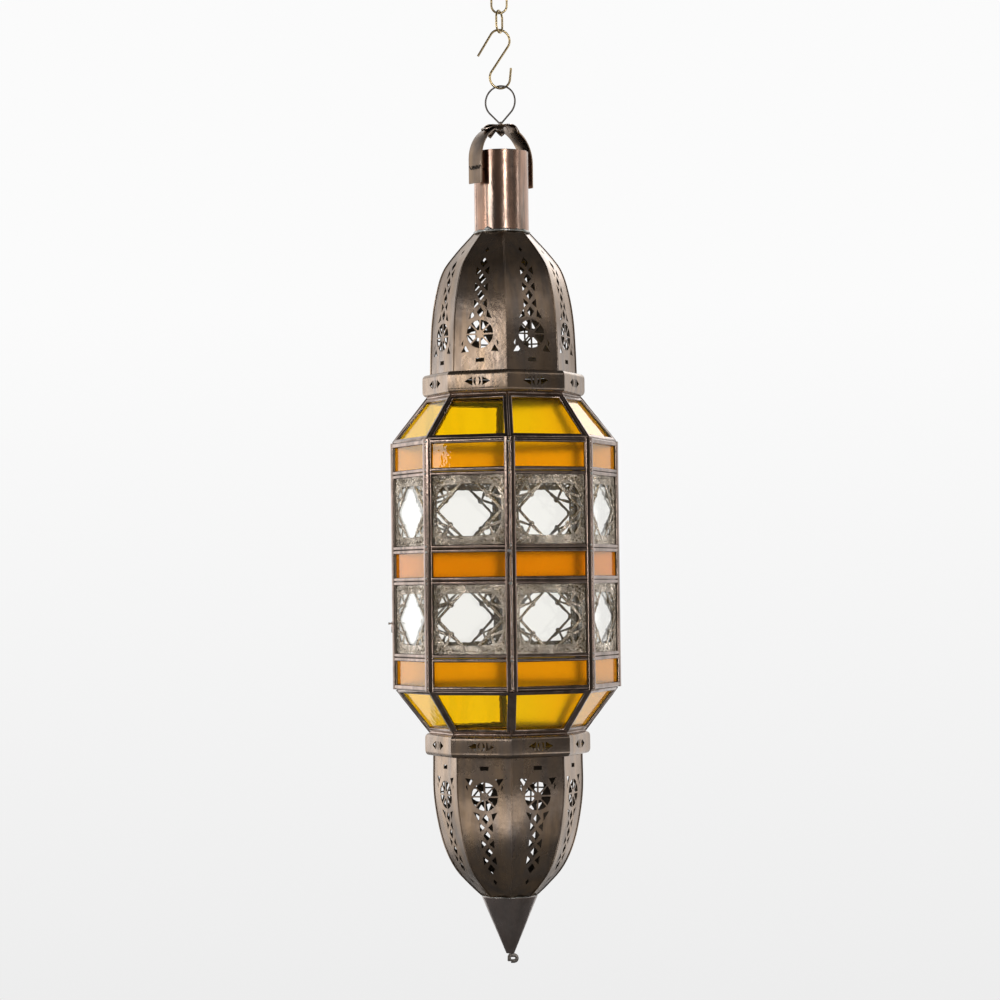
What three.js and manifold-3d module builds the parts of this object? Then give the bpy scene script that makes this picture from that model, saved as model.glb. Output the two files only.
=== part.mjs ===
import * as THREE from 'three';
import { mergeVertices } from 'three/addons/utils/BufferGeometryUtils.js';
import Module from 'manifold-3d';

const wasm = await Module();
wasm.setup();

// Hanging lantern of pierced sheet metal and coloured glass. Millimetres, +Z up.
// The origin is the inside of the top chain link, where a ceiling hook holds it.

// Fits
const seat = 0.3;
const runningGap = 0.3;

// Length of one facet along a bent wire
const wireStep = 3;

// Chain of oval links with open butt joints
const linkWire = 2.2;
const linkLength = 24.2;
const linkWidth = 17.6;
const linkTurns = [90, 0, 65];

// S-hook
const hookWire = 2.3;
const hookBend = 10.6;
const hookReach = 37.9;
const hookTurn = 15;
const hookUpperTail = 26.4;
const hookUpperTailStart = 148.5;
const hookLowerTail = 11.6;
const hookLowerTailEnd = -6;

// Teardrop hanging ring with a swivel stem
const ringWire = 1.8;
const ringBend = 16;
const ringDrop = 22.1;
const ringTurn = -25;
const stemRadius = 1.5;
const stemHeadRadius = 3.2;
const stemHeadHeight = 1.2;
const stemShow = 3;

// Bail: a flat strap bent to an inverted U, its pin and its sheet flower
const strapWidth = 19;
const strapThickness = 1.6;
const bailSpacing = 69;
const bailTurn = 40;
const crownToPin = 44.5;
const legBelowPin = 15.5;
const pinWire = 2;
const pinCurl = 4.2;
const pinTailLength = 8;
const petalThickness = 0.7;
const petalWidth = 13;
const longPetalLength = 27;
const petalCurl = 8;
const petalOverStrap = 1;
const petalCurlTurn = 2.1;
const diagonalCurlTurn = 1.3;
const hubRadius = 8;

// Neck tube
const neckRadius = 27.3;
const neckWall = 0.8;
const neckAbovePin = 18.2;
const neckLength = 81.4;

// Octagon shared by every storey below the neck
const faceCount = 8;
const doorFace = 5;

// Upper dome of eight gores with folded seams
const domeWall = 1;
const seamHeight = 0.8;
const seamWidth = 2.6;
// Radius at a corner and distance from the mouth, from mouth to crown
const upperDomeProfile = [
  [72.8, 0],
  [72, 26],
  [70.3, 54],
  [66.2, 80],
  [58.8, 104],
  [46.6, 121],
  [28, 141.6],
];

// Lower dome, hung mouth up
const lowerDomeProfile = [
  [73.8, 0],
  [73.6, 38],
  [68.6, 72],
  [61.6, 96],
  [51.4, 115],
  [36.8, 131],
  [27.6, 139.6],
];

// Pierced motif of the domes
const latticeWidth = 34;
const rosetteRadius = 12.6;
const rosetteBar = 1.6;
const diamondWidth = 7;
const diamondHeight = 11;
const diamondPitch = 19.4;
const diamondCount = 4;
const eyeletWidth = 4;
const eyeletHeight = 6;
const upperLatticeFoot = 20;
const lowerLatticeFoot = 22;

// Collars: flat-sided channels with rounded edges
const collarHeight = 22;
const collarWall = 1;
const collarEdge = 4.4;
const collarEdgeHeight = 5;
const upperCollarRadius = 81.3;
const lowerCollarRadius = 82.4;
const collarLip = 10.4;
const plateLip = 16.4;
const collarTriangleWidth = 8;
const collarTriangleHeight = 9;
const collarSlitWidth = 3;
const collarMotifSpan = 26;

// Glazed storeys
const bodyRadius = 114.6;
const cameDepth = 3.2;
const slopeCameDepth = 2.6;
const cameBevel = 1;
const stileWidth = 6.6;
const barHalf = 4;
const railHeight = 5;
const amberHeight = 23;
const clearHeight = 67;
const shoulderRise = 45.3;
const shoulderFootInset = 1.8;
const shoulderFootRadius = bodyRadius - shoulderFootInset;
const shoulderTopRadius = 77.2;
const hipDrop = 43.3;
const hipTopInset = 3.1;
const hipTopRadius = bodyRadius - hipTopInset;
const hipFootRadius = 78;
const slopeRimWidth = 5;
const glassThickness = 2;
const glassLap = 2.2;

// Pierced window sheets
const sheetThickness = 0.6;
const openingRise = 25.3;
const diamondSpan = 32;
const diamondReach = 30.5;
const wingReach = 33.5;
const ringRadius = 35.3;
const latticeBar = 2.6;
const strutWidth = 1.9;

// Door hinges and latch
const doorGap = 0.5;
const hingeOffset = 2.3;
const hingeSpread = 122;
const knuckleRadius = 1.9;
const knuckleLength = 5;
const hingePinRadius = 0.8;
const hingePinHead = 1.5;
const leafLength = 7;
const leafThickness = 0.9;
const latchDrop = 57;
const latchInset = 4;
const latchStudReach = 3.2;
const latchPinRadius = 0.8;
const latchPlate = 0.8;
const latchHalfWidth = 2.2;
const latchHeadHeight = 0.5;

// Candle plate and cup
const plateOverlap = 6;
const plateRadius = lowerCollarRadius - plateLip + plateOverlap;
const plateThickness = 1.2;
const cupRadius = 21;
const cupHeight = 11;
const cupWall = 1;

// Finial
const coneRadius = 28;
const coneTipRadius = 4.2;
const coneHeight = 57.5;
const coneLip = 4;
const coneWall = 1;
const eyeRadius = 2.9;
const eyeWire = 3;
const shankWidth = 5.2;
const shankHeight = 8.6;

const metal = (name, color, roughness) => (
  new THREE.MeshStandardMaterial({ name, color, roughness, metalness: 1 })
);
const glass = (name, color) => (
  new THREE.MeshStandardMaterial({
    name, color, roughness: 0.08, metalness: 0, transparent: true, opacity: 0.6,
  })
);
const finishes = {
  brass: () => metal('polished_brass', 0xb89a5a, 0.3),
  iron: () => metal('black_iron', 0x45413c, 0.45),
  bronze: () => metal('antique_bronze', 0x4e3f36, 0.38),
  pierced: () => metal('pierced_bronze', 0x6e6450, 0.42),
  yellow: () => glass('yellow_glass', 0xe4b200),
  amber: () => glass('amber_glass', 0xde8c05),
  orange: () => glass('orange_glass', 0xd86f00),
  clear: () => glass('clear_glass', 0xeef2ee),
};

const sectorAngle = (2 * Math.PI) / faceCount;
const halfSector = sectorAngle / 2;
const apothemOf = (radius) => radius * Math.cos(halfSector);
const cornerOf = (apothem) => apothem / Math.cos(halfSector);
const halfWidthOf = (radius) => radius * Math.sin(halfSector);
const radians = THREE.MathUtils.degToRad;
const faceAngle = (face) => 360 * ((face + 0.5) / faceCount);

const lamp = new THREE.Group();

function toSolid(geometry) {
  const bare = geometry.clone();
  bare.deleteAttribute('normal');
  bare.deleteAttribute('uv');
  const merged = mergeVertices(bare, 1e-4);
  return new wasm.Manifold(new wasm.Mesh({
    numProp: 3,
    vertProperties: Float32Array.from(merged.attributes.position.array),
    triVerts: Uint32Array.from(merged.index.array),
  }));
}

function toGeometry(solid) {
  const mesh = solid.getMesh();
  const geometry = new THREE.BufferGeometry();
  geometry.setAttribute('position', new THREE.Float32BufferAttribute(mesh.vertProperties, 3));
  geometry.setIndex(Array.from(mesh.triVerts));
  return geometry;
}

const joined = (geometries) => geometries.map(toSolid).reduce((whole, piece) => whole.add(piece));
const without = (solid, geometry) => solid.subtract(toSolid(geometry));

function place(name, piece, finish, parent = lamp) {
  const geometry = piece instanceof THREE.BufferGeometry ? piece : toGeometry(piece);
  const mesh = new THREE.Mesh(geometry, finishes[finish]());
  mesh.name = name;
  parent.add(mesh);
  return mesh;
}

function groupAt(z, turnDegrees, parent = lamp) {
  const group = new THREE.Group();
  group.position.z = z;
  group.rotation.z = radians(turnDegrees);
  parent.add(group);
  return group;
}

// Arc in the XZ plane, measured from +X towards +Z.
class UprightArc extends THREE.Curve {
  constructor(x, z, radius, from, to) {
    super();
    Object.assign(this, { x, z, radius, from, to });
  }

  getPoint(t, target = new THREE.Vector3()) {
    const angle = this.from + t * (this.to - this.from);
    return target.set(
      this.x + this.radius * Math.cos(angle),
      0,
      this.z + this.radius * Math.sin(angle),
    );
  }
}

const uprightPoint = (x, z) => new THREE.Vector3(x, 0, z);
const uprightLine = (start, end) => new THREE.LineCurve3(start, end);

function polygon(points) {
  return new THREE.Shape(points.map(([x, y]) => new THREE.Vector2(x, y)));
}

function roundSection(radius, sides) {
  const corners = Array.from({ length: sides }, (_, i) => (2 * Math.PI * i) / sides);
  return polygon(corners.map((angle) => [radius * Math.cos(angle), radius * Math.sin(angle)]));
}

function wireAlong(curves, diameter, stepLength, sides = 6) {
  const path = new THREE.CurvePath();
  curves.forEach((curve) => path.add(curve));
  const steps = Math.ceil(path.getLength() / stepLength);
  return new THREE.ExtrudeGeometry(roundSection(diameter / 2, sides), {
    steps,
    bevelEnabled: false,
    extrudePath: path,
  });
}

// Extrusion of an outline drawn in X and Z, from y = front back to y = front + depth.
function uprightSlab(shape, front, depth, bevel = 0) {
  const geometry = new THREE.ExtrudeGeometry(shape, {
    depth: depth - 2 * bevel,
    steps: 1,
    curveSegments: 10,
    bevelEnabled: bevel > 0,
    bevelThickness: bevel,
    bevelSize: bevel,
    bevelOffset: -bevel,
    bevelSegments: 1,
  });
  geometry.rotateX(Math.PI / 2);
  geometry.translate(0, front + depth - bevel, 0);
  return geometry;
}

// Came frame: bevelled along its outer edges and flat at the back
function came(shape, front, depth) {
  const deep = depth + 2 * cameBevel;
  const reach = 4 * bodyRadius;
  const behind = block([-reach, front + depth, -reach], [reach, front + 2 * deep, reach]);
  return without(toSolid(uprightSlab(shape, front, deep, cameBevel)), behind);
}

// Revolve of a closed [radius, z] profile. With one segment per face it makes an octagon.
function revolve(profile, segments) {
  const area = profile.reduce((sum, [r, z], i) => {
    const [nextR, nextZ] = profile[(i + 1) % profile.length];
    return sum + r * nextZ - nextR * z;
  }, 0);
  const ordered = area > 0 ? profile : [...profile].reverse();
  const onAxis = ordered.findIndex(([r]) => r === 0);
  const first = Math.max(onAxis, 0);
  const turned = [...ordered.slice(first), ...ordered.slice(0, first)];
  const loop = onAxis < 0 ? [...turned, turned[0]] : turned;
  if (onAxis >= 0 && loop[loop.length - 1][0] > 0) {
    loop.push(loop.shift());
  }
  const points = loop.map(([r, z]) => new THREE.Vector2(r, z));
  const geometry = new THREE.LatheGeometry(points, segments);
  geometry.rotateX(Math.PI / 2);
  return geometry;
}

function rod(radius, from, to, sides = 10) {
  const start = new THREE.Vector3(...from);
  const end = new THREE.Vector3(...to);
  const direction = end.clone().sub(start);
  const geometry = new THREE.CylinderGeometry(radius, radius, direction.length(), sides);
  const upright = new THREE.Vector3(0, 1, 0);
  const turn = new THREE.Quaternion().setFromUnitVectors(upright, direction.normalize());
  geometry.applyQuaternion(turn);
  geometry.translate(...start.add(end).multiplyScalar(0.5).toArray());
  return geometry;
}

function block(low, high) {
  const size = high.map((value, i) => value - low[i]);
  const middle = high.map((value, i) => (value + low[i]) / 2);
  return new THREE.BoxGeometry(...size).translate(...middle);
}

// Chain
function chainLink() {
  const halfStraight = (linkLength - linkWidth) / 2;
  const bend = (linkWidth - linkWire) / 2;
  const butt = seat / 2;
  return wireAlong([
    uprightLine(uprightPoint(bend, butt), uprightPoint(bend, halfStraight)),
    new UprightArc(0, halfStraight, bend, 0, Math.PI),
    uprightLine(uprightPoint(-bend, halfStraight), uprightPoint(-bend, -halfStraight)),
    new UprightArc(0, -halfStraight, bend, Math.PI, 2 * Math.PI),
    uprightLine(uprightPoint(bend, -halfStraight), uprightPoint(bend, -butt)),
  ], linkWire, wireStep);
}

const linkSpan = linkLength - linkWire;
const linkStep = linkSpan - linkWire - seat;
const chainTopCentre = linkWire / 2 - linkSpan / 2;
const linkNames = ['chain_link_top', 'chain_link_upper', 'chain_link_lower'];
linkNames.forEach((name, i) => {
  place(name, chainLink(), 'brass', groupAt(chainTopCentre - i * linkStep, linkTurns[i]));
});
const chainFoot = chainTopCentre - (linkNames.length - 1) * linkStep - linkSpan / 2;

// S-hook: two bends one above the other, joined by the line that touches both
function sHook() {
  const lean = Math.acos((2 * hookBend) / hookReach);
  const crossing = -Math.PI / 2 + lean;
  const tailStart = radians(hookUpperTailStart);
  const tailEnd = radians(hookLowerTailEnd);
  const topPoint = (angle) => uprightPoint(hookBend * Math.cos(angle), hookBend * Math.sin(angle));
  const footPoint = (angle) => topPoint(angle).add(uprightPoint(0, -hookReach));
  const upperTail = topPoint(tailStart).add(
    uprightPoint(-hookUpperTail * Math.sin(tailStart), hookUpperTail * Math.cos(tailStart)),
  );
  const lowerTail = footPoint(tailEnd).add(
    uprightPoint(-hookLowerTail * Math.sin(tailEnd), hookLowerTail * Math.cos(tailEnd)),
  );
  return wireAlong([
    uprightLine(upperTail, topPoint(tailStart)),
    new UprightArc(0, 0, hookBend, tailStart, crossing),
    uprightLine(topPoint(crossing), footPoint(crossing + Math.PI)),
    new UprightArc(0, -hookReach, hookBend, crossing + Math.PI, 2 * Math.PI + tailEnd),
    uprightLine(footPoint(tailEnd), lowerTail),
  ], hookWire, 1.3 * wireStep);
}

const hookCentre = chainFoot + (linkWire + hookWire) / 2 + seat - hookBend;
place('s_hook', sHook(), 'brass', groupAt(hookCentre, hookTurn));
const hookFoot = hookCentre - hookReach - hookBend;

// Hanging ring: a teardrop whose two ends run down as one stem through the bail
const ringCentre = hookFoot + (hookWire + ringWire) / 2 + seat - ringBend;
const ringPoint = ringCentre - ringDrop;
const crownTop = ringPoint - stemShow;

function hangingRing() {
  const touch = Math.acos(ringBend / ringDrop);
  const rightStart = -Math.PI / 2 + touch;
  const leftEnd = (3 * Math.PI) / 2 - touch;
  const onRing = (angle) => uprightPoint(ringBend * Math.cos(angle), ringBend * Math.sin(angle));
  const side = stemRadius - ringWire / 2;
  const loop = wireAlong([
    uprightLine(uprightPoint(side, -ringDrop), onRing(rightStart)),
    new UprightArc(0, 0, ringBend, rightStart, leftEnd),
    uprightLine(onRing(leftEnd), uprightPoint(-side, -ringDrop)),
  ], ringWire, 1.6 * wireStep);
  const headTop = crownTop - strapThickness - seat - ringCentre;
  const stem = rod(stemRadius, [0, 0, headTop - stemHeadHeight / 2], [0, 0, ringWire - ringDrop], 8);
  const head = rod(stemHeadRadius, [0, 0, headTop - stemHeadHeight], [0, 0, headTop], 8);
  return joined([loop, stem, head]);
}

place('hanging_ring', hangingRing(), 'iron', groupAt(ringCentre, ringTurn));

// Bail, drawn with its legs along X and turned about the hanging axis
const pinHeight = crownTop - crownToPin;
const archOuter = (bailSpacing + strapThickness) / 2;
const archInner = archOuter - strapThickness;
const archCentre = crownToPin - archOuter;
const bailGroup = groupAt(pinHeight, bailTurn);

function bailStrap() {
  const outline = new THREE.Shape();
  outline.moveTo(archInner, -legBelowPin);
  outline.lineTo(archOuter, -legBelowPin);
  outline.lineTo(archOuter, archCentre);
  outline.absarc(0, archCentre, archOuter, 0, Math.PI, false);
  outline.lineTo(-archOuter, -legBelowPin);
  outline.lineTo(-archInner, -legBelowPin);
  outline.lineTo(-archInner, archCentre);
  outline.absarc(0, archCentre, archInner, Math.PI, 0, true);
  const strap = toSolid(uprightSlab(outline, -strapWidth / 2, strapWidth));
  const pinHole = rod(pinWire / 2 + runningGap, [-bailSpacing, 0, 0], [bailSpacing, 0, 0]);
  const stemHole = rod(stemRadius + runningGap, [0, 0, archCentre], [0, 0, crownToPin + strapThickness]);
  return without(without(strap, pinHole), stemHole);
}

// Leaf cut from sheet: level for a length, then rolled down to a radius
function petal(level, curl, length, width) {
  const leaf = new THREE.BoxGeometry(1, 1, petalThickness, 5, 1, 1);
  const points = leaf.attributes.position;
  for (let i = 0; i < points.count; i += 1) {
    const along = points.getX(i) + 0.5;
    const spread = width * Math.max(0.2, Math.sin(Math.PI * (0.2 + 0.75 * along)));
    const height = points.getZ(i);
    const beyond = Math.max(0, along * length - level);
    const roll = beyond / curl;
    points.setXYZ(
      i,
      Math.min(along * length, level) + (curl + height) * Math.sin(roll),
      points.getY(i) * spread,
      (curl + height) * Math.cos(roll) - curl,
    );
  }
  return leaf;
}

function bailRosette() {
  const overStrap = strapWidth / 2 + petalOverStrap;
  const sideLength = overStrap + petalCurl * petalCurlTurn;
  const diagonalLevel = overStrap * Math.SQRT2;
  const diagonalLength = diagonalLevel + petalCurl * diagonalCurlTurn;
  const archCurl = archOuter + seat + petalThickness / 2;
  const leaves = Array.from({ length: 8 }, (_, i) => {
    const turn = (i * Math.PI) / 4;
    if (i % 4 === 0) {
      return petal(0, archCurl, longPetalLength, petalWidth).rotateZ(turn);
    }
    if (i % 4 === 2) {
      return petal(overStrap, petalCurl, sideLength, petalWidth).rotateZ(turn);
    }
    return petal(diagonalLevel, petalCurl, diagonalLength, petalWidth).rotateZ(turn);
  });
  const half = petalThickness / 2;
  const hub = rod(hubRadius, [0, 0, -half], [0, 0, half], 12);
  const flower = joined([hub, ...leaves]);
  return without(flower, rod(stemRadius + runningGap, [0, 0, -petalCurl], [0, 0, petalCurl]));
}

// Pin: one end bent flat across its leg, the other curled to a half loop
function bailPin() {
  const face = archOuter + seat + pinWire / 2;
  const bentEnd = rod(pinWire / 2, [-face, -pinWire / 2, 0], [-face, pinTailLength, 0], 6);
  const shaft = rod(pinWire / 2, [-face, 0, 0], [face, 0, 0], 6);
  const curl = wireAlong([
    uprightLine(uprightPoint(face - pinWire, 0), uprightPoint(face, 0)),
    new UprightArc(face, pinCurl, pinCurl, -Math.PI / 2, Math.PI / 2),
  ], pinWire, 2);
  return joined([bentEnd, shaft, curl]);
}

place('bail_strap', bailStrap(), 'bronze', bailGroup);
const rosette = place('bail_rosette', bailRosette(), 'bronze', bailGroup);
rosette.position.z = crownToPin + seat + petalThickness / 2;
place('bail_pin', bailPin(), 'iron', bailGroup);

// Neck tube, crossed by the pin
function neckTube() {
  const top = neckAbovePin;
  const foot = neckAbovePin - neckLength;
  const wall = [
    [neckRadius - neckWall, foot],
    [neckRadius, foot],
    [neckRadius, top],
    [neckRadius - neckWall, top],
  ];
  const pinHole = rod(pinWire / 2 + runningGap, [-bailSpacing, 0, 0], [bailSpacing, 0, 0]);
  return without(toSolid(revolve(wall, 28)), pinHole);
}

place('neck_tube', neckTube(), 'bronze', bailGroup);

// Heights of the storeys, from the neck down
const heightOf = (profile) => profile[profile.length - 1][1];
const upperDomeTop = pinHeight + neckAbovePin - neckLength - seat;
const upperDomeFoot = upperDomeTop - heightOf(upperDomeProfile);
const upperCollarTop = upperDomeFoot - seat;
const shoulderTop = upperCollarTop - collarHeight - seat;
const bodyTop = shoulderTop - shoulderRise - seat;
const rowHeights = [amberHeight, clearHeight, amberHeight, clearHeight, amberHeight];
const bodyHeight = rowHeights.reduce((sum, height) => sum + height, 0)
  + 2 * railHeight + 2 * barHalf * (rowHeights.length - 1);
const bodyFoot = bodyTop - bodyHeight;
const hipTop = bodyFoot - seat;
const lowerCollarTop = hipTop - hipDrop - seat;
const lowerDomeTop = lowerCollarTop - collarHeight - seat;
const coneTop = lowerDomeTop - heightOf(lowerDomeProfile) - seat;

// Loft of level rings with a raised seam at every corner of the octagon
function seamedLoft(levels) {
  const positions = [];
  levels.forEach(([radius, z]) => {
    for (let corner = 0; corner < faceCount; corner += 1) {
      const angle = corner * sectorAngle;
      const out = new THREE.Vector2(Math.sin(angle), -Math.cos(angle));
      [-1, 0, 1].forEach((side) => {
        const along = angle + side * (Math.PI / 2 + halfSector);
        const step = new THREE.Vector2(Math.sin(along), -Math.cos(along)).multiplyScalar(seamWidth / 2);
        const reach = side === 0 ? radius + seamHeight : radius;
        const point = out.clone().multiplyScalar(reach).add(side === 0 ? new THREE.Vector2() : step);
        positions.push(point.x, point.y, z);
      });
    }
  });
  const around = 3 * faceCount;
  const index = [];
  for (let level = 0; level < levels.length - 1; level += 1) {
    for (let i = 0; i < around; i += 1) {
      const a = level * around + i;
      const b = level * around + ((i + 1) % around);
      index.push(a, b, b + around, a, b + around, a + around);
    }
  }
  const crown = (levels.length - 1) * around;
  for (let i = 1; i < around - 1; i += 1) {
    index.push(0, i + 1, i);
    index.push(crown, crown + i, crown + i + 1);
  }
  const geometry = new THREE.BufferGeometry();
  geometry.setAttribute('position', new THREE.Float32BufferAttribute(positions, 3));
  geometry.setIndex(index);
  return geometry;
}

// Openings of one gore, measured up from the foot of the motif
function latticeHoles() {
  const holes = [];
  const inner = rosetteRadius - rosetteBar;
  const gap = rosetteBar / Math.SQRT2;
  for (let i = 0; i < 4; i += 1) {
    const turn = (i * Math.PI) / 2;
    const from = turn - Math.PI / 4 + rosetteBar / inner / 2;
    const to = turn + Math.PI / 4 - rosetteBar / inner / 2;
    const ring = [from, to].map((angle) => [inner * Math.cos(angle), inner * Math.sin(angle)]);
    ring.push([gap * Math.cos(turn), gap * Math.sin(turn)]);
    holes.push(ring.map(([x, z]) => [x, z + rosetteRadius]));
  }
  for (let i = 0; i < diamondCount; i += 1) {
    const middle = 2 * rosetteRadius + diamondHeight / 2 + rosetteBar + i * diamondPitch;
    holes.push([
      [diamondWidth / 2, middle],
      [0, middle + diamondHeight / 2],
      [-diamondWidth / 2, middle],
      [0, middle - diamondHeight / 2],
    ]);
  }
  [-1, 1].forEach((side) => {
    holes.push([
      [side * (latticeWidth / 2), 0],
      [side * (rosetteRadius * 0.6 + rosetteBar), 0],
      [side * (rosetteRadius + rosetteBar * 0.4), rosetteRadius * 0.55],
    ]);
  });
  const eyelet = 2 * rosetteRadius + diamondCount * diamondPitch + eyeletHeight;
  holes.push([
    [eyeletWidth / 2, eyelet],
    [0, eyelet + eyeletHeight / 2],
    [-eyeletWidth / 2, eyelet],
    [0, eyelet - eyeletHeight / 2],
  ]);
  return holes;
}

function piercedFaces(solid, holes, reach) {
  const shapes = holes.map(polygon);
  const cutter = toSolid(uprightSlab(shapes, -reach, reach));
  let pierced = solid;
  for (let face = 0; face < faceCount; face += 1) {
    pierced = pierced.subtract(cutter.rotate([0, 0, faceAngle(face)]));
  }
  return pierced;
}

function dome(outer, latticeFoot) {
  const wall = cornerOf(domeWall);
  const inner = outer.map(([r, z]) => [r - wall, z]);
  const [mouthRadius] = inner[0];
  const [crownRadius, crownZ] = inner[inner.length - 1];
  const bore = [
    [0, -domeWall],
    [mouthRadius, -domeWall],
    ...inner.slice(1),
    [crownRadius, crownZ + domeWall],
    [0, crownZ + domeWall],
  ];
  const shell = without(toSolid(seamedLoft(outer)), revolve(bore, faceCount));
  const holes = latticeHoles().map((hole) => hole.map(([x, z]) => [x, z + latticeFoot]));
  return piercedFaces(shell, holes, 2 * mouthRadius);
}

const upperDome = place('upper_dome', dome(upperDomeProfile, upperLatticeFoot), 'bronze');
upperDome.position.z = upperDomeFoot;

const lowerDome = place('lower_dome', dome(lowerDomeProfile, lowerLatticeFoot), 'bronze');
lowerDome.position.z = lowerDomeTop;
lowerDome.rotation.x = Math.PI;

// Collars, each pierced on every face with a slit between two darts
function collarHoles() {
  const middle = collarHeight / 2;
  const base = collarMotifSpan / 2 - collarTriangleWidth;
  const half = collarTriangleHeight / 2;
  const darts = [-1, 1].map((side) => [
    [side * base, middle - half],
    [(side * collarMotifSpan) / 2, middle],
    [side * base, middle + half],
  ]);
  const slit = [
    [collarSlitWidth / 2, middle],
    [0, middle + half],
    [-collarSlitWidth / 2, middle],
    [0, middle - half],
  ];
  return [...darts, slit];
}

function collar(radius, footLip) {
  const roundedSide = (inset) => {
    const edge = [0, 1, 2].map((step) => {
      const angle = (step * Math.PI) / 4;
      return [
        radius - inset - collarEdge * (1 - Math.sin(angle)),
        inset + (collarEdgeHeight - inset) * (1 - Math.cos(angle)),
      ];
    });
    const mirrored = edge.map(([r, z]) => [r, collarHeight - z]).reverse();
    return [...edge, ...mirrored];
  };
  const channel = [
    [radius - footLip, 0],
    ...roundedSide(0),
    [radius - collarLip, collarHeight],
    [radius - collarLip, collarHeight - collarWall],
    ...roundedSide(collarWall).reverse(),
    [radius - footLip, collarWall],
  ];
  return piercedFaces(toSolid(revolve(channel, faceCount)), collarHoles(), 2 * radius);
}

const upperCollar = place('upper_collar', collar(upperCollarRadius, collarLip), 'bronze');
upperCollar.position.z = upperCollarTop - collarHeight;
const lowerCollar = place('lower_collar', collar(lowerCollarRadius, plateLip), 'bronze');
lowerCollar.position.z = lowerCollarTop - collarHeight;

// Sloping storeys: eight framed trapezoids, drawn with the wide edge at z = 0 and leaning inwards
function slopeOf(wideRadius, narrowRadius, rise) {
  const run = apothemOf(wideRadius) - apothemOf(narrowRadius);
  return { run, length: Math.hypot(run, rise), lean: Math.atan2(run, rise) };
}

function slopeFrame(wideRadius, narrowRadius, rise) {
  const { length, lean } = slopeOf(wideRadius, narrowRadius, rise);
  const wide = halfWidthOf(wideRadius);
  const narrow = halfWidthOf(narrowRadius);
  const edgeLean = Math.atan2(wide - narrow, length);
  const side = slopeRimWidth / Math.cos(edgeLean);
  const widthAt = (s) => wide + ((narrow - wide) * s) / length;
  const past = -2 * cameBevel;
  const outline = polygon([
    [-widthAt(past), past],
    [widthAt(past), past],
    [narrow, length],
    [-narrow, length],
  ]);
  const low = slopeRimWidth;
  const high = length - slopeRimWidth;
  outline.holes.push(polygon([
    [-widthAt(low) + side, low],
    [-widthAt(high) + side, high],
    [widthAt(high) - side, high],
    [widthAt(low) - side, low],
  ]));
  const rim = came(outline, 0, slopeCameDepth).rotate([-THREE.MathUtils.radToDeg(lean), 0, 0]);
  const rims = Array.from({ length: faceCount }, (_, face) => (
    rim.translate([0, -apothemOf(wideRadius), 0]).rotate([0, 0, faceAngle(face)])
  ));
  const level = block([-wideRadius, -wideRadius, 0], [wideRadius, wideRadius, rise]);
  return rims.reduce((whole, piece) => whole.add(piece)).intersect(toSolid(level));
}

function slopeGlass(wideRadius, narrowRadius, rise) {
  const { run, lean } = slopeOf(wideRadius, narrowRadius, rise);
  const low = slopeRimWidth - glassLap;
  const high = rise - low;
  const radiusAt = (z, depth) => cornerOf(
    apothemOf(wideRadius) - (run * z) / rise - depth / Math.cos(lean),
  );
  const front = slopeCameDepth + seat;
  const back = front + glassThickness;
  return revolve([
    [radiusAt(low, front), low],
    [radiusAt(high, front), high],
    [radiusAt(high, back), high],
    [radiusAt(low, back), low],
  ], faceCount);
}

const shoulder = groupAt(bodyTop + seat, 0);
const shoulderSize = [shoulderFootRadius, shoulderTopRadius, shoulderRise];
place('shoulder_frame', slopeFrame(...shoulderSize), 'bronze', shoulder);
place('shoulder_glass', toSolid(slopeGlass(...shoulderSize)), 'yellow', shoulder);

const hip = groupAt(hipTop, 0);
hip.rotation.x = Math.PI;
const hipSize = [hipTopRadius, hipFootRadius, hipDrop];
place('hip_frame', slopeFrame(...hipSize), 'bronze', hip);
place('hip_glass', toSolid(slopeGlass(...hipSize)), 'yellow', hip);

// Straight storey, each face drawn with its outside at y = -bodyApothem and z = 0 at its foot
const bodyApothem = apothemOf(bodyRadius);
const bodyHalfWidth = halfWidthOf(bodyRadius);
const openingHalfWidth = bodyHalfWidth - stileWidth;
const glassReach = openingHalfWidth + glassLap;

const rows = [];
rowHeights.reduce((top, height, i) => {
  rows.push({ top, foot: top - height, pierced: i % 2 === 1 });
  return top - height - 2 * barHalf;
}, bodyHeight - railHeight);

// Sector of one face, trimmed so that neighbours meet in a mitre with a gap
function mitreWedge(gap) {
  const far = 2 * bodyRadius;
  const apex = gap / 2 / Math.sin(halfSector);
  const spread = (far - apex) * Math.tan(halfSector);
  const outline = polygon([[0, -apex], [-spread, -far], [spread, -far]]);
  const wedge = new THREE.ExtrudeGeometry(outline, { depth: bodyHeight + 2 * far, bevelEnabled: false });
  wedge.translate(0, 0, -far);
  return toSolid(wedge);
}

function faceFrame(gap) {
  const outline = polygon([
    [-bodyHalfWidth, 0],
    [bodyHalfWidth, 0],
    [bodyHalfWidth, bodyHeight],
    [-bodyHalfWidth, bodyHeight],
  ]);
  rows.forEach((row) => outline.holes.push(polygon([
    [-openingHalfWidth, row.foot],
    [-openingHalfWidth, row.top],
    [openingHalfWidth, row.top],
    [openingHalfWidth, row.foot],
  ])));
  return came(outline, -bodyApothem, cameDepth).intersect(mitreWedge(gap));
}

// Point at a distance along a direction and another across it
function offsetFrom([x, z], [dirX, dirZ], along, across) {
  return [x + along * dirX - across * dirZ, z + along * dirZ + across * dirX];
}

function directionTo([fromX, fromZ], [toX, toZ]) {
  const length = Math.hypot(toX - fromX, toZ - fromZ);
  return [(toX - fromX) / length, (toZ - fromZ) / length];
}

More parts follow.
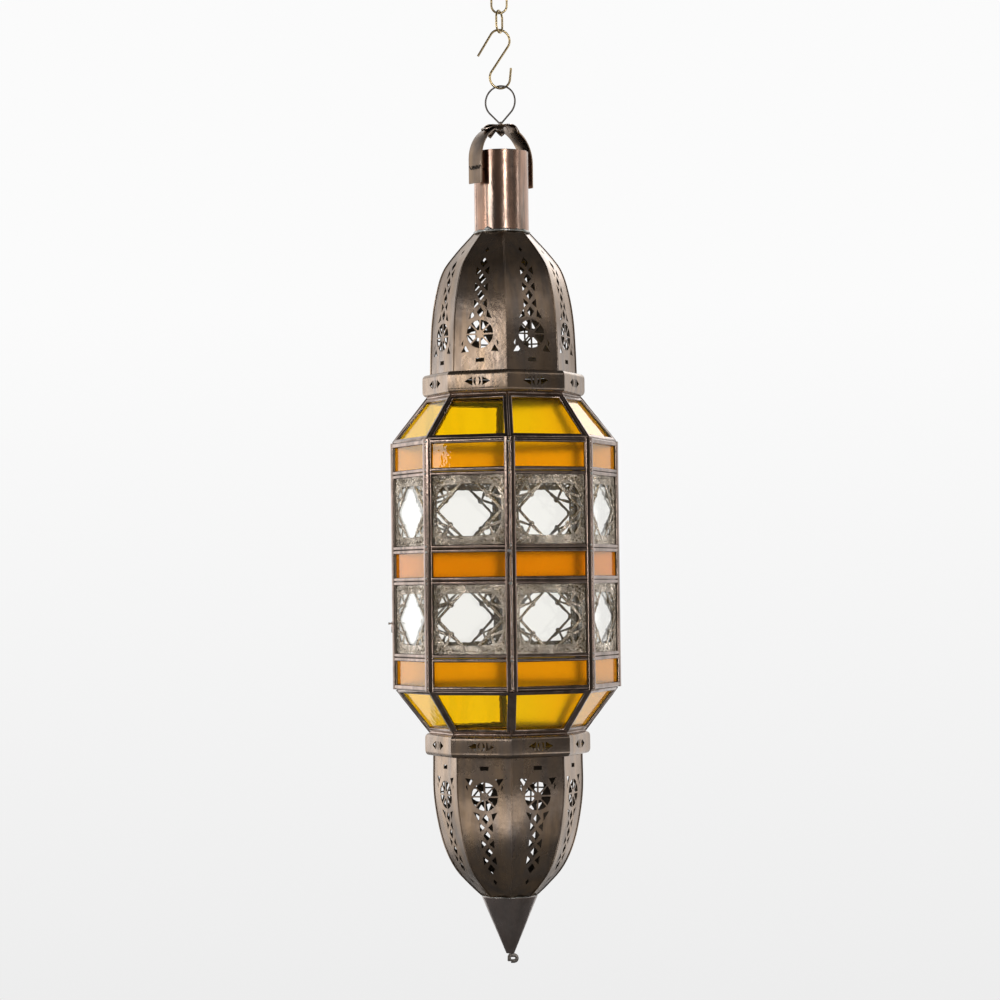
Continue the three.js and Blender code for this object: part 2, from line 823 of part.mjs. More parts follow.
// Openings beyond one bar of the diamond: two struts part them, from the bar's knob out to the ring
function wingHoles() {
  const barEdge = diamondSpan + latticeBar * Math.SQRT2;
  const half = strutWidth / 2;
  const lean = (barEdge - diamondSpan + half) / 2;
  const knob = [
    (diamondSpan - openingRise + diamondReach) / 2 + lean,
    (diamondSpan - diamondReach + openingRise) / 2 + lean,
  ];
  const high = [Math.sqrt(ringRadius ** 2 - openingRise ** 2), openingRise];
  const wide = [wingReach, Math.sqrt(ringRadius ** 2 - wingReach ** 2)];
  const toHigh = directionTo(knob, high);
  const toWide = directionTo(knob, wide);
  const [from, to] = [wide, high].map(([x, z]) => Math.atan2(z, x));
  const arc = [0.15, 0.5, 0.85].map((part) => {
    const angle = from + part * (to - from);
    return [ringRadius * Math.cos(angle), ringRadius * Math.sin(angle)];
  });
  const upper = [[barEdge - openingRise, openingRise], [high[0] - half, high[1]]];
  const outer = [[wingReach, wide[1] - half], [wingReach, barEdge - wingReach]];
  return [
    [...upper, offsetFrom(knob, toHigh, 0, half)],
    [offsetFrom(knob, toHigh, strutWidth, -half), offsetFrom(knob, toWide, strutWidth, half), ...arc],
    [offsetFrom(knob, toWide, 0, -half), ...outer],
  ];
}

// Pierced sheet: a diamond cut off above and below, with wings of openings round it
function windowSheet() {
  const front = -bodyApothem + cameDepth + seat;
  const middle = clearHeight / 2;
  const top = [diamondSpan - openingRise, openingRise];
  const side = [diamondReach, diamondSpan - diamondReach];
  const mirrored = (points, [sideX, sideZ]) => points.map(([x, z]) => [sideX * x, sideZ * z + middle]);
  const quarters = [[1, 1], [1, -1], [-1, -1], [-1, 1]];
  const diamond = quarters.flatMap((quarter, i) => mirrored(i % 2 ? [side, top] : [top, side], quarter));
  const wings = quarters.flatMap((quarter) => wingHoles().map((hole) => mirrored(hole, quarter)));
  const sheet = block(
    [-glassReach, front, -glassLap],
    [glassReach, front + sheetThickness, clearHeight + glassLap],
  );
  const punch = (hole) => toSolid(uprightSlab(polygon(hole), front - seat, sheetThickness + 2 * seat));
  return [diamond, ...wings].reduce((cut, hole) => cut.subtract(punch(hole)), toSolid(sheet));
}

const sheetDepth = cameDepth + seat + sheetThickness + seat;
const paneDepth = (row) => (row.pierced ? sheetDepth : cameDepth + seat);

// Seven fixed panes of one row, mitred into each other behind the posts
function paneRing(row) {
  const outer = bodyApothem - paneDepth(row);
  const inner = outer - glassThickness;
  const low = row.foot - glassLap;
  const high = row.top + glassLap;
  const band = revolve([
    [cornerOf(outer), low],
    [cornerOf(outer), high],
    [cornerOf(inner), high],
    [cornerOf(inner), low],
  ], faceCount);
  const doorway = mitreWedge(-2 * doorGap).rotate([0, 0, faceAngle(doorFace)]);
  return toSolid(band).subtract(doorway);
}

function doorPane(row) {
  const front = -bodyApothem + paneDepth(row);
  return block(
    [-glassReach, front, row.foot - glassLap],
    [glassReach, front + glassThickness, row.top + glassLap],
  );
}

// Half hinge on the corner at side * halfWidth, from z = foot up by one knuckle
const hingeOut = hingeOffset * Math.cos(halfSector);
const hingeAside = hingeOffset * Math.sin(halfSector);

function withKnuckle(frame, side, foot) {
  const centre = [side * (bodyHalfWidth + hingeAside), -bodyApothem - hingeOut];
  const top = foot + knuckleLength;
  const barrel = rod(knuckleRadius, [...centre, foot], [...centre, top], 8);
  const bore = rod(hingePinRadius + runningGap, [...centre, foot - seat], [...centre, top + seat], 8);
  const face = -bodyApothem;
  const spanX = (from, to) => [Math.min(side * from, side * to), Math.max(side * from, side * to)];
  const [leafLow, leafHigh] = spanX(bodyHalfWidth - leafLength, bodyHalfWidth + hingeAside);
  const [footLow, footHigh] = spanX(bodyHalfWidth - leafLength, bodyHalfWidth - 2 * cameBevel);
  const leaf = block([leafLow, face - seat - leafThickness, foot], [leafHigh, face - seat, top]);
  const solderFront = face - seat - leafThickness / 2;
  const solder = block([footLow, solderFront, foot], [footHigh, face + cameBevel, top]);
  return frame.add(joined([barrel, leaf, solder])).subtract(toSolid(bore));
}

const hingeFeet = [1, -1].map((side) => (bodyHeight + side * hingeSpread) / 2 - knuckleLength);
const doorFoot = (foot) => foot + knuckleLength + seat;

function hingePin(foot) {
  const x = -(bodyHalfWidth + hingeAside);
  const y = -bodyApothem - hingeOut;
  const low = foot - seat;
  const high = foot + 2 * knuckleLength + 2 * seat;
  return joined([
    rod(hingePinRadius, [x, y, low - seat], [x, y, high + seat], 6),
    rod(hingePinHead, [x, y, low - hingePinHead], [x, y, low], 6),
    rod(hingePinHead, [x, y, high], [x, y, high + hingePinHead], 6),
  ]);
}

// Latch: a hook plate hung on a rivet of the door, dropping over a stud of the next face
const latchHeight = bodyHeight / 2 - latchDrop;
const latchArm = latchInset + latchStudReach;
const latchFront = -bodyApothem - seat - latchPlate;
const latchPivotX = bodyHalfWidth - latchInset;
const headFront = latchFront - seat;

function headedStud(x, root) {
  const at = (y) => [x, y, latchHeight];
  return joined([
    rod(latchPinRadius, at(root), at(headFront), 8),
    rod(latchPinRadius * 1.8, at(headFront), at(headFront - latchHeadHeight), 8),
  ]);
}

function doorLatch() {
  const slot = latchPinRadius + runningGap;
  const arm = uprightSlab(polygon([
    [-latchHalfWidth, 0],
    [-latchHalfWidth, -latchArm - latchHalfWidth],
    [latchHalfWidth, -latchArm - latchHalfWidth],
    [latchHalfWidth, 0],
  ]), latchFront, latchPlate);
  const eye = rod(latchHalfWidth, [0, latchFront, 0], [0, latchFront + latchPlate, 0], 12);
  const throat = uprightSlab(polygon([
    [0, slot - latchArm],
    [-2 * latchHalfWidth, 3 * slot - latchArm],
    [-2 * latchHalfWidth, -slot - latchArm],
    [0, -slot - latchArm],
  ]), latchFront - seat, latchPlate + 2 * seat);
  const through = (z) => rod(slot, [0, latchFront - seat, z], [0, -bodyApothem, z], 8);
  return [throat, through(-latchArm), through(0)].reduce(without, joined([arm, eye]));
}

const allFaces = Array.from({ length: faceCount }, (_, face) => face);
const fixedFaces = allFaces.filter((face) => face !== doorFace);
const hingeFace = (doorFace + faceCount - 1) % faceCount;
const latchFace = (doorFace + 1) % faceCount;

function fixedFrame(face) {
  const frame = faceFrame(seat);
  if (face === hingeFace) {
    return hingeFeet.reduce((whole, foot) => withKnuckle(whole, 1, foot), frame);
  }
  if (face === latchFace) {
    const stud = headedStud(bodyHalfWidth + latchStudReach, -bodyApothem + latchStudReach + cameBevel);
    return frame.add(stud.rotate([0, 0, -360 / faceCount]));
  }
  return frame;
}

function doorFrame() {
  const feet = hingeFeet.map(doorFoot);
  const hung = feet.reduce((whole, foot) => withKnuckle(whole, -1, foot), faceFrame(2 * doorGap));
  return hung.add(headedStud(latchPivotX, -bodyApothem + cameBevel));
}

fixedFaces.forEach((face, i) => {
  const group = groupAt(bodyFoot, faceAngle(face));
  const number = i + 1;
  place(`face_frame_${number}`, fixedFrame(face), 'bronze', group);
  rows.filter((row) => row.pierced).forEach((row, level) => {
    const side = level === 0 ? 'upper' : 'lower';
    const sheet = place(`window_sheet_${side}_${number}`, windowSheet(), 'pierced', group);
    sheet.position.z = row.foot;
  });
});

const rowNames = ['upper_amber', 'upper_clear', 'middle_orange', 'lower_clear', 'lower_amber'];
const rowFinishes = ['amber', 'clear', 'orange', 'clear', 'amber'];
const storey = groupAt(bodyFoot, 0);
rows.forEach((row, i) => place(`${rowNames[i]}_panes`, paneRing(row), rowFinishes[i], storey));

const door = groupAt(bodyFoot, faceAngle(doorFace));
place('door_frame', doorFrame(), 'bronze', door);
rows.forEach((row, i) => place(`door_${rowNames[i]}_pane`, doorPane(row), rowFinishes[i], door));
rows.filter((row) => row.pierced).forEach((row, level) => {
  const sheet = place(`door_sheet_${level === 0 ? 'upper' : 'lower'}`, windowSheet(), 'pierced', door);
  sheet.position.z = row.foot;
});
['upper', 'lower'].forEach((name, i) => {
  place(`door_hinge_pin_${name}`, hingePin(hingeFeet[i]), 'iron', door);
});
const latch = place('door_latch', doorLatch(), 'bronze', door);
latch.position.set(latchPivotX, 0, latchHeight);

// Candle plate resting on the lip of the lower collar, with a cup for the candle
const plateFoot = lowerCollarTop - collarHeight + collarWall + seat;
const candlePlate = place('candle_plate', toSolid(revolve([
  [0, 0],
  [plateRadius, 0],
  [plateRadius, plateThickness],
  [0, plateThickness],
], faceCount)), 'bronze');
candlePlate.position.z = plateFoot;

const candleCup = place('candle_cup', toSolid(revolve([
  [0, 0],
  [cupRadius, 0],
  [cupRadius, cupHeight],
  [cupRadius - cupWall, cupHeight],
  [cupRadius - cupWall, cupWall],
  [0, cupWall],
], 20)), 'bronze');
candleCup.position.z = plateFoot + plateThickness + seat;

// Finial: a sheet cone with a turned-in lip, and the soldered eye at its tip
const coneFoot = coneTop - coneHeight;
const coneSlope = (coneRadius - coneTipRadius) / coneHeight;
const finialCone = place('finial_cone', toSolid(revolve([
  [0, 0],
  [coneTipRadius, 0],
  [coneRadius, coneHeight],
  [coneRadius - coneLip, coneHeight],
  [coneRadius - coneLip, coneHeight - coneWall],
  [coneRadius - coneWall - coneSlope * 2 * coneWall, coneHeight - coneWall],
  [coneTipRadius - coneWall + coneSlope * 2 * coneWall, 2 * coneWall],
  [0, 2 * coneWall],
], 24)), 'bronze');
finialCone.position.z = coneFoot;

function finialKnob() {
  const shank = new THREE.CylinderGeometry(shankWidth / 2, shankWidth / 1.8, shankHeight, 8);
  shank.rotateX(Math.PI / 2);
  shank.translate(0, 0, -shankHeight / 2);
  const eye = new THREE.TorusGeometry(eyeRadius, eyeWire / 2, 6, 12);
  eye.rotateX(Math.PI / 2);
  eye.translate(shankWidth / 2 + eyeRadius / 2, 0, -shankHeight / 2 - eyeWire / 4);
  return joined([shank, eye]);
}

const knob = place('finial_knob', finialKnob(), 'iron');
knob.position.z = coneFoot - seat;

export default lamp;
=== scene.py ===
import math
import random

import bmesh
import bpy
from mathutils import Matrix, Vector


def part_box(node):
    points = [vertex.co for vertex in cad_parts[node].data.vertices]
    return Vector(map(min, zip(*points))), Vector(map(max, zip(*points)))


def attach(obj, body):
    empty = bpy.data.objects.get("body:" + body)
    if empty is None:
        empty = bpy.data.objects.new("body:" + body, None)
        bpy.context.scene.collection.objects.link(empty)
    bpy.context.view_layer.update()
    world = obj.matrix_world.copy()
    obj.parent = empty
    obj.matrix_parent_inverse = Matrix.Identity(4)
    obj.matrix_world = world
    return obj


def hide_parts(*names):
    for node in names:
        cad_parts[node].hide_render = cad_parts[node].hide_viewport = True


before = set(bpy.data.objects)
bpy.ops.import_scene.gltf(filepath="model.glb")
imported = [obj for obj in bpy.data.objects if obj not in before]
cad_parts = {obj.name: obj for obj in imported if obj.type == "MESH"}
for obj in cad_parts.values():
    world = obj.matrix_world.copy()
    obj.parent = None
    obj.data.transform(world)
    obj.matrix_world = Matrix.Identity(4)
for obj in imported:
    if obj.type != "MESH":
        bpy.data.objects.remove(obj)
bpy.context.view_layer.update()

# Camera. The photograph looks slightly up at the lantern from about 2.8 m, a little left of its front corner.
# Its level of the eye is the middle of the glazed storey.
scene = bpy.context.scene
scene.view_settings.view_transform = "Standard"
camera_distance = 2.78
camera_height = -0.6202
camera_side = math.radians(2.5)
camera_pitch = math.radians(91.85)
camera_aim = math.radians(0.102)
camera_roll = math.radians(-0.68)
sensor_width = 36
camera_data = bpy.data.cameras.new("camera")
camera_data.lens = sensor_width * camera_distance
camera_data.sensor_width = sensor_width
camera_data.clip_end = 60
camera = bpy.data.objects.new("camera", camera_data)
scene.collection.objects.link(camera)
camera.matrix_world = (
    Matrix.Translation((
        -camera_distance * math.sin(camera_side),
        -camera_distance * math.cos(camera_side),
        camera_height,
    ))
    @ Matrix.Rotation(camera_aim - camera_side, 4, "Z")
    @ Matrix.Rotation(camera_pitch, 4, "X")
    @ Matrix.Rotation(camera_roll, 4, "Z")
)
scene.camera = camera

# Studio. A pale room: bright behind and beside the lantern, dim behind the camera,
# with a plain pale floor far below the hanging lantern.
world = bpy.data.worlds.new("studio")
scene.world = world
world.use_nodes = True
sky = world.node_tree
sky.nodes.clear()


def fill(tree, socket, value):
    """Gives an input socket a plain value or the output of another node."""
    if isinstance(value, bpy.types.NodeSocket):
        tree.links.new(value, socket)
    else:
        socket.default_value = value


def add_node(tree, kind, **values):
    """Adds a shader node and fills its plain properties and its named inputs."""
    node = tree.nodes.new(kind)
    for key, value in values.items():
        if hasattr(node, key):
            setattr(node, key, value)
        else:
            fill(tree, node.inputs[key.replace("_", " ")], value)
    return node


def reckon(tree, operation, *values):
    """Works out a mask from masks and plain values."""
    node = add_node(tree, "ShaderNodeMath", operation=operation)
    for socket, value in zip(node.inputs, values):
        fill(tree, socket, value)
    return node.outputs[0]


def stretched(tree, mask, low, high, start=0.0, end=1.0):
    """Stretches the part of a mask between two values over a new range."""
    node = add_node(tree, "ShaderNodeMapRange", Value=mask, From_Min=low, From_Max=high, To_Min=start, To_Max=end)
    return node.outputs[0]


def shaded(tree, mask, *stops):
    """Gives a mask its colours, from (value, colour) stops."""
    node = add_node(tree, "ShaderNodeValToRGB", Fac=mask)
    elements = node.color_ramp.elements
    for element, (value, colour) in zip(elements, (stops[0], stops[-1])):
        element.position = value
        element.color = (*colour, 1)
    for value, colour in stops[1:-1]:
        elements.new(value).color = (*colour, 1)
    return node.outputs["Color"]


def in_view(tree):
    """1 for what the camera sees, straight or through glass."""
    ray = add_node(tree, "ShaderNodeLightPath")
    return reckon(tree, "MAXIMUM", ray.outputs["Is Camera Ray"], ray.outputs["Is Transmission Ray"])


def mix_looks(tree, amount, first, second):
    """Mixes two shaders by a mask."""
    mix = add_node(tree, "ShaderNodeMixShader")
    for socket, source in zip(mix.inputs, (amount, first.outputs[0], second.outputs[0])):
        fill(tree, socket, source)
    return mix.outputs[0]


direction = add_node(sky, "ShaderNodeTexCoord")
split = add_node(sky, "ShaderNodeSeparateXYZ", Vector=direction.outputs["Generated"])
front_to_back = shaded(
    sky, reckon(sky, "MULTIPLY_ADD", split.outputs["Y"], 0.5, 0.5),
    (0.18, (0.07, 0.065, 0.06)), (0.36, (0.24, 0.23, 0.22)), (0.52, (0.97, 0.97, 0.97)))
steepness = reckon(sky, "ABSOLUTE", split.outputs["Z"])
room = add_node(sky, "ShaderNodeBackground", Color=front_to_back,
                Strength=stretched(sky, steepness, 0.45, 0.85, 1.0, 0.08))
paper_fade = shaded(
    sky, reckon(sky, "MULTIPLY_ADD", split.outputs["Z"], 0.5, 0.5),
    (0.42, (0.84, 0.84, 0.84)), (0.55, (0.965, 0.965, 0.965)))
paper = add_node(sky, "ShaderNodeBackground", Color=paper_fade, Strength=1.0)
add_node(sky, "ShaderNodeOutputWorld", Surface=mix_looks(sky, in_view(sky), room, paper))

lantern_middle = Vector((0, 0, -0.55))
# Name, power, width, height, bearing from the lantern, distance and level of each lamp panel.
softboxes = (
    ("strip_right_of_camera", 20, 0.16, 2.2, -76, 2.6, -0.4),
    ("card_front_left", 10, 0.8, 0.8, -141.4, 2.8, 0.0),
    ("strip_left", 7, 0.16, 2.2, -163, 2.8, -0.5),
    ("strip_right", 5, 0.3, 2.2, -18, 2.8, -0.5),
    ("low_card_left", 3, 0.8, 0.6, -135, 2.6, -1.7),
    ("low_card_right", 2, 0.8, 0.6, -44, 2.6, -1.6),
    ("high_card_right", 1.5, 0.7, 0.6, -46, 2.7, 0.7),
    ("card_back_right", 6, 1.8, 0.8, 63, 2.6, 0.75),
    ("card_back_left", 5, 1.2, 1.5, 128, 2.6, -0.55),
)
for name, power, width, height, bearing, distance, level in softboxes:
    panel = bpy.data.lights.new(name, "AREA")
    panel.shape = "RECTANGLE"
    panel.size = width
    panel.size_y = height
    panel.energy = power
    lamp = bpy.data.objects.new(name, panel)
    scene.collection.objects.link(lamp)
    place = Vector((math.cos(math.radians(bearing)), math.sin(math.radians(bearing)), 0)) * distance
    place.z = level
    facing = (lantern_middle - place).to_track_quat("-Z", "Y").to_matrix().to_4x4()
    lamp.matrix_world = Matrix.Translation(place) @ facing


def new_finish(name):
    """A material with its node tree and its shader."""
    finish = bpy.data.materials.new(name)
    finish.use_nodes = True
    return finish, finish.node_tree, finish.node_tree.nodes["Principled BSDF"]


# The floor's own white shows for most of it, and the rest takes light and shadow.
floor_level, floor_half, floor_white_share = -2.3, 3.2, 0.85
floor_grid = bmesh.new()
bmesh.ops.create_grid(floor_grid, x_segments=1, y_segments=1, size=floor_half,
                      matrix=Matrix.Translation((0, 0, floor_level)))
floor_mesh = bpy.data.meshes.new("floor")
floor_grid.to_mesh(floor_mesh)
floor_grid.free()
floor = bpy.data.objects.new("floor", floor_mesh)
scene.collection.objects.link(floor)
floor_paint, floor_tree, floor_shader = new_finish("pale_floor")
floor_shader.inputs["Base Color"].default_value = (0.2, 0.2, 0.2, 1)
floor_shader.inputs["Roughness"].default_value = 0.9
floor_white = add_node(floor_tree, "ShaderNodeEmission", Color=(0.95, 0.95, 0.95, 1))
floor_mask = reckon(floor_tree, "MULTIPLY", in_view(floor_tree), floor_white_share)
fill(floor_tree, floor_tree.nodes["Material Output"].inputs["Surface"],
     mix_looks(floor_tree, floor_mask, floor_shader, floor_white))
floor_mesh.materials.append(floor_paint)

# Chain. Three oval links of brass wire; the top one hangs from a hook above the picture.
# Each link is bent round and its ends butt together.
MM = 0.001
random.seed(7)
link_wire, link_length, link_width = 2.2, 24.2, 17.6
link_turns = {"top": 90, "upper": 0, "lower": 65}
# Room between two wires that hang in each other.
play = 0.3


def surface_marks():
    """One node group for metal and glass: tarnish, upright streaks, fine grain, shallow dents and chasing."""
    group = bpy.data.node_groups.new("surface_marks", "ShaderNodeTree")
    # Scale, detail and stretch of each mark.
    marks = {
        "Tarnish": (24, 5, (1, 1, 0.6)),
        "Streaks": (70, 3, (1, 1, 0.08)),
        "Grain": (1400, 2, (1, 1, 1)),
        "Dents": (90, 2, (1, 1, 1)),
        "Chasing": (330, 1, (1, 1, 1)),
    }
    group.interface.new_socket("Size", in_out="INPUT", socket_type="NodeSocketFloat")
    for name in marks:
        group.interface.new_socket(name, in_out="OUTPUT", socket_type="NodeSocketFloat")
    entry = group.nodes.new("NodeGroupInput")
    leave = group.nodes.new("NodeGroupOutput")
    place = add_node(group, "ShaderNodeTexCoord")
    for name, (scale, detail, stretch) in marks.items():
        lay = add_node(group, "ShaderNodeMapping", Vector=place.outputs["Object"], Scale=stretch)
        size = reckon(group, "MULTIPLY", entry.outputs["Size"], scale)
        noise = add_node(group, "ShaderNodeTexNoise", Vector=lay.outputs[0], Scale=size,
                         Detail=detail, Roughness=0.6)
        fill(group, leave.inputs[name], stretched(group, noise.outputs["Fac"], 0.34, 0.66))
    return group


marks_group = surface_marks()


def mix_colours(tree, amount, first, second):
    """Mixes two colours by a mask."""
    mix = add_node(tree, "ShaderNodeMix", data_type="RGBA", Factor=amount)
    for name, colour in (("A", first), ("B", second)):
        fill(tree, mix.inputs[name], (*colour, 1) if isinstance(colour, tuple) else colour)
    return mix.outputs["Result"]


# Near-black brown of the painted shade on the faces inside the lantern.
INSIDE_SHADE = (0.07, 0.06, 0.045)
MARK_DEPTH = 0.0006


def metal(name, bare, tarnished, streaked, rough=(0.2, 0.42), size=1.0, streak=0.5, dent=0.4, grain=0.03,
          chased=0.0, relief=0.2):
    """A worn metal: bare, with tarnish over part of it, upright streaks, and painted shade on the faces inside the
    lantern.
    """
    finish, tree, shader = new_finish(name)
    shader.inputs["Metallic"].default_value = 1.0
    marks = add_node(tree, "ShaderNodeGroup", node_tree=marks_group, Size=size).outputs
    inside = add_node(tree, "ShaderNodeAttribute", attribute_name="inside").outputs["Fac"]
    colour = mix_colours(tree, marks["Tarnish"], bare, tarnished)
    colour = mix_colours(tree, reckon(tree, "MULTIPLY", marks["Streaks"], streak), colour, streaked)
    # Painted shade: the faces turned to the hanging axis are darkened towards near-black brown.
    colour = mix_colours(tree, reckon(tree, "MULTIPLY", inside, 0.8), colour, INSIDE_SHADE)
    fill(tree, shader.inputs["Base Color"], colour)
    polished, dull = rough
    # The inside faces are also rougher.
    rougher_inside = reckon(tree, "MULTIPLY_ADD", inside, 0.25, polished)
    fill(tree, shader.inputs["Roughness"], reckon(tree, "MULTIPLY_ADD", marks["Tarnish"], dull - polished, rougher_inside))
    height = reckon(tree, "MULTIPLY", marks["Dents"], dent)
    for mask, amount in (("Grain", grain), ("Chasing", chased)):
        height = reckon(tree, "MULTIPLY_ADD", marks[mask], amount, height)
    bump = add_node(tree, "ShaderNodeBump", Strength=relief, Distance=MARK_DEPTH, Height=height)
    fill(tree, shader.inputs["Normal"], bump.outputs[0])
    return finish


def hang(name, bm, finish, body, nodes, corner=32, hollow=False):
    """Turns a mesh drawn in millimetres into a piece of the lantern that stands for its CAD nodes.

    In a hollow piece the faces turned to the hanging axis are marked as its inside, where the metal finishes paint
    shade."""
    bmesh.ops.scale(bm, vec=(MM, MM, MM), verts=bm.verts)
    mesh = bpy.data.meshes.new(name)
    bm.to_mesh(mesh)
    bm.free()
    mesh.materials.append(finish)
    for face in mesh.polygons:
        face.use_smooth = True
    mesh.set_sharp_from_angle(angle=math.radians(corner))
    if hollow:
        inside = mesh.attributes.new("inside", "FLOAT", "FACE")
        for face, mark in zip(mesh.polygons, inside.data):
            mark.value = 1.0 if face.normal.xy.dot(face.center.xy.normalized()) < 0.05 else 0.0
    piece = bpy.data.objects.new(name, mesh)
    scene.collection.objects.link(piece)
    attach(piece, body)
    if nodes:
        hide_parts(*nodes)
    return piece


def round_bar(bm, radius, start, heading, sides=14):
    """Starts a round wire: a ring of edges at its first end."""
    turn = Vector(heading).to_track_quat("Z", "Y").to_matrix().to_4x4()
    ring = bmesh.ops.create_circle(
        bm, segments=sides, radius=radius, matrix=Matrix.Translation(start) @ turn)
    return list({edge for vert in ring["verts"] for edge in vert.link_edges})


def verts_in(geom):
    """The points among what an operator gives back."""
    return [item for item in geom if isinstance(item, bmesh.types.BMVert)]


def edges_in(geom):
    """The edges among what an operator gives back."""
    return [item for item in geom if isinstance(item, bmesh.types.BMEdge)]


def bend(bm, edges, moves, step=0.12):
    """Draws a loop of edges along runs and round arcs, as wire is bent over pegs, and closes both ends."""
    first = edges
    for move in moves:
        if isinstance(move, tuple):
            centre, axis, angle = move
            loop = list({vert for edge in edges for vert in edge.verts})
            swept = bmesh.ops.spin(
                bm, geom=loop + edges, cent=centre, axis=axis, angle=angle,
                steps=max(2, math.ceil(abs(angle) / step)), use_merge=False, use_duplicate=False)
            edges = edges_in(swept["geom_last"])
        else:
            grown = bmesh.ops.extrude_edge_only(bm, edges=edges)["geom"]
            ends = verts_in(grown)
            bmesh.ops.translate(bm, verts=ends, vec=move)
            edges = [edge for edge in edges_in(grown) if set(edge.verts) <= set(ends)]
    for loop in (first, edges):
        bmesh.ops.edgeloop_fill(bm, edges=loop)
    bmesh.ops.recalc_face_normals(bm, faces=bm.faces)


def turn_about_axis(bm, degrees):
    """Turns a mesh about the hanging axis."""
    bmesh.ops.rotate(bm, verts=bm.verts, cent=(0, 0, 0), matrix=Matrix.Rotation(math.radians(degrees), 3, "Z"))


def lift(bm, height):
    """Moves a mesh up to its level."""
    bmesh.ops.translate(bm, verts=bm.verts, vec=(0, 0, height))


brass = metal("polished_brass", (0.62, 0.47, 0.24), (0.36, 0.27, 0.15), (0.75, 0.6, 0.36),
              rough=(0.16, 0.38), size=3.0, streak=0.2)
AWAY = Vector((0, -1, 0))
half_gap = 0.15
link_bend = (link_width - link_wire) / 2
link_straight = (link_length - link_width) / 2
link_step = link_length - 2 * link_wire - play
link_level = (link_wire - (link_length - link_wire)) / 2
for number, (name, turn) in enumerate(link_turns.items()):
    link = bmesh.new()
    ring = round_bar(link, link_wire / 2, (link_bend, 0, half_gap), (0, 0, 1))
    bend(link, ring, [
        Vector((0, 0, link_straight - half_gap)),
        (Vector((0, 0, link_straight)), AWAY, math.pi),
        Vector((0, 0, -2 * link_straight)),
        (Vector((0, 0, -link_straight)), AWAY, math.pi),
        Vector((0, 0, link_straight - half_gap)),
    ])
    turn_about_axis(link, turn)
    lift(link, link_level - number * link_step)
    hang(f"brass_link_{name}", link, brass, f"{name}_link", [f"chain_link_{name}"])

# S-hook. Thicker brass wire bent to two bends, one above the other, with a long upper tail.
# Its upper bend hangs in the lowest link, and its lower bend carries the hanging ring.
hook_wire, hook_bend, hook_reach = 2.3, 10.6, 37.9
hook_upper_tail, hook_lower_tail = 26.4, 11.6
hook_start, hook_end = math.radians(148.5), math.radians(-6)
hook_turn = 15
chain_end = link_level - 2 * link_step - (link_length - link_wire) / 2
hook_level = chain_end + (link_wire + hook_wire) / 2 + play - hook_bend
hook_cross = -math.pi / 2 + math.acos(2 * hook_bend / hook_reach)


def on_bend(angle, level=0.0):
    """A point on a bend of the hook, in the hook's own plane."""
    return Vector((hook_bend * math.cos(angle), 0, hook_bend * math.sin(angle) + level))


hook = bmesh.new()
tail = Vector((-math.sin(hook_start), 0, math.cos(hook_start))) * hook_upper_tail
ring = round_bar(hook, hook_wire / 2, on_bend(hook_start) + tail, -tail)
bend(hook, ring, [
    -tail,
    (Vector((0, 0, 0)), AWAY, hook_cross - hook_start),
    on_bend(hook_cross + math.pi, -hook_reach) - on_bend(hook_cross),
    (Vector((0, 0, -hook_reach)), AWAY, math.pi + hook_end - hook_cross),
    Vector((-math.sin(hook_end), 0, math.cos(hook_end))) * hook_lower_tail,
])
turn_about_axis(hook, hook_turn)
lift(hook, hook_level)
hang("brass_hook", hook, brass, "hook", ["s_hook"])

# Hanging ring. Dark wire bent to a teardrop whose two ends run down together as a stem.
# The stem passes through the flower and the bail, and its end is hammered to a head below them.
ring_wire, ring_bend, ring_drop, ring_turn = 1.8, 16.0, 22.1, -25
stem_radius, stem_length = 1.5, 3.0
strap_thickness = 1.6
ring_level = hook_level - hook_reach - hook_bend + (hook_wire + ring_wire) / 2 + play - ring_bend
crown_top = ring_level - ring_drop - stem_length
dark_wire = metal("dark_wire", (0.2, 0.18, 0.165), (0.1, 0.09, 0.08), (0.3, 0.26, 0.22),
                  rough=(0.3, 0.55), size=3.0, streak=0.3)
ring_touch = math.acos(ring_bend / ring_drop)
ring_start, ring_end = -math.pi / 2 + ring_touch, 3 * math.pi / 2 - ring_touch
ring_side = stem_radius - ring_wire / 2
hanging_ring = bmesh.new()
foot = Vector((ring_side, 0, -ring_drop))
first_touch = Vector((ring_bend * math.cos(ring_start), 0, ring_bend * math.sin(ring_start)))
last_touch = Vector((-first_touch.x, 0, first_touch.z))
ring = round_bar(hanging_ring, ring_wire / 2, foot, first_touch - foot)
bend(hanging_ring, ring, [
    first_touch - foot,
    (Vector((0, 0, 0)), AWAY, ring_end - ring_start),
    Vector((-ring_side, 0, -ring_drop)) - last_touch,
])


def turned(profile, steps=48):
    """Spins a profile of (radius, height) points once round the hanging axis."""
    bm = bmesh.new()
    points = [bm.verts.new((radius, 0, height)) for radius, height in profile]
    edges = [bm.edges.new(pair) for pair in zip(points, points[1:])]
    bmesh.ops.spin(
        bm, geom=points + edges, cent=(0, 0, 0), axis=(0, 0, 1), angle=2 * math.pi,
        steps=steps, use_merge=True, use_duplicate=False)
    bmesh.ops.remove_doubles(bm, verts=bm.verts, dist=0.001)
    bmesh.ops.recalc_face_normals(bm, faces=bm.faces)
    return bm


def add_to(bm, other, place=None):
    """Adds another mesh to a mesh."""
    spare = bpy.data.meshes.new("spare")
    other.to_mesh(spare)
    other.free()
    if place is not None:
        spare.transform(place)
    bm.from_mesh(spare)
    bpy.data.meshes.remove(spare)


head_top = crown_top - strap_thickness - play - ring_level
add_to(hanging_ring, turned([
    (0, head_top - 1.2), (2.6, head_top - 1.1), (3.2, head_top - 0.6), (3.0, head_top - 0.1),
    (stem_radius, head_top), (stem_radius, ring_wire - ring_drop), (0, ring_wire - ring_drop + 0.6),
], 20))
turn_about_axis(hanging_ring, ring_turn)
lift(hanging_ring, ring_level)
hang("wire_ring", hanging_ring, dark_wire, "ring", ["hanging_ring"])

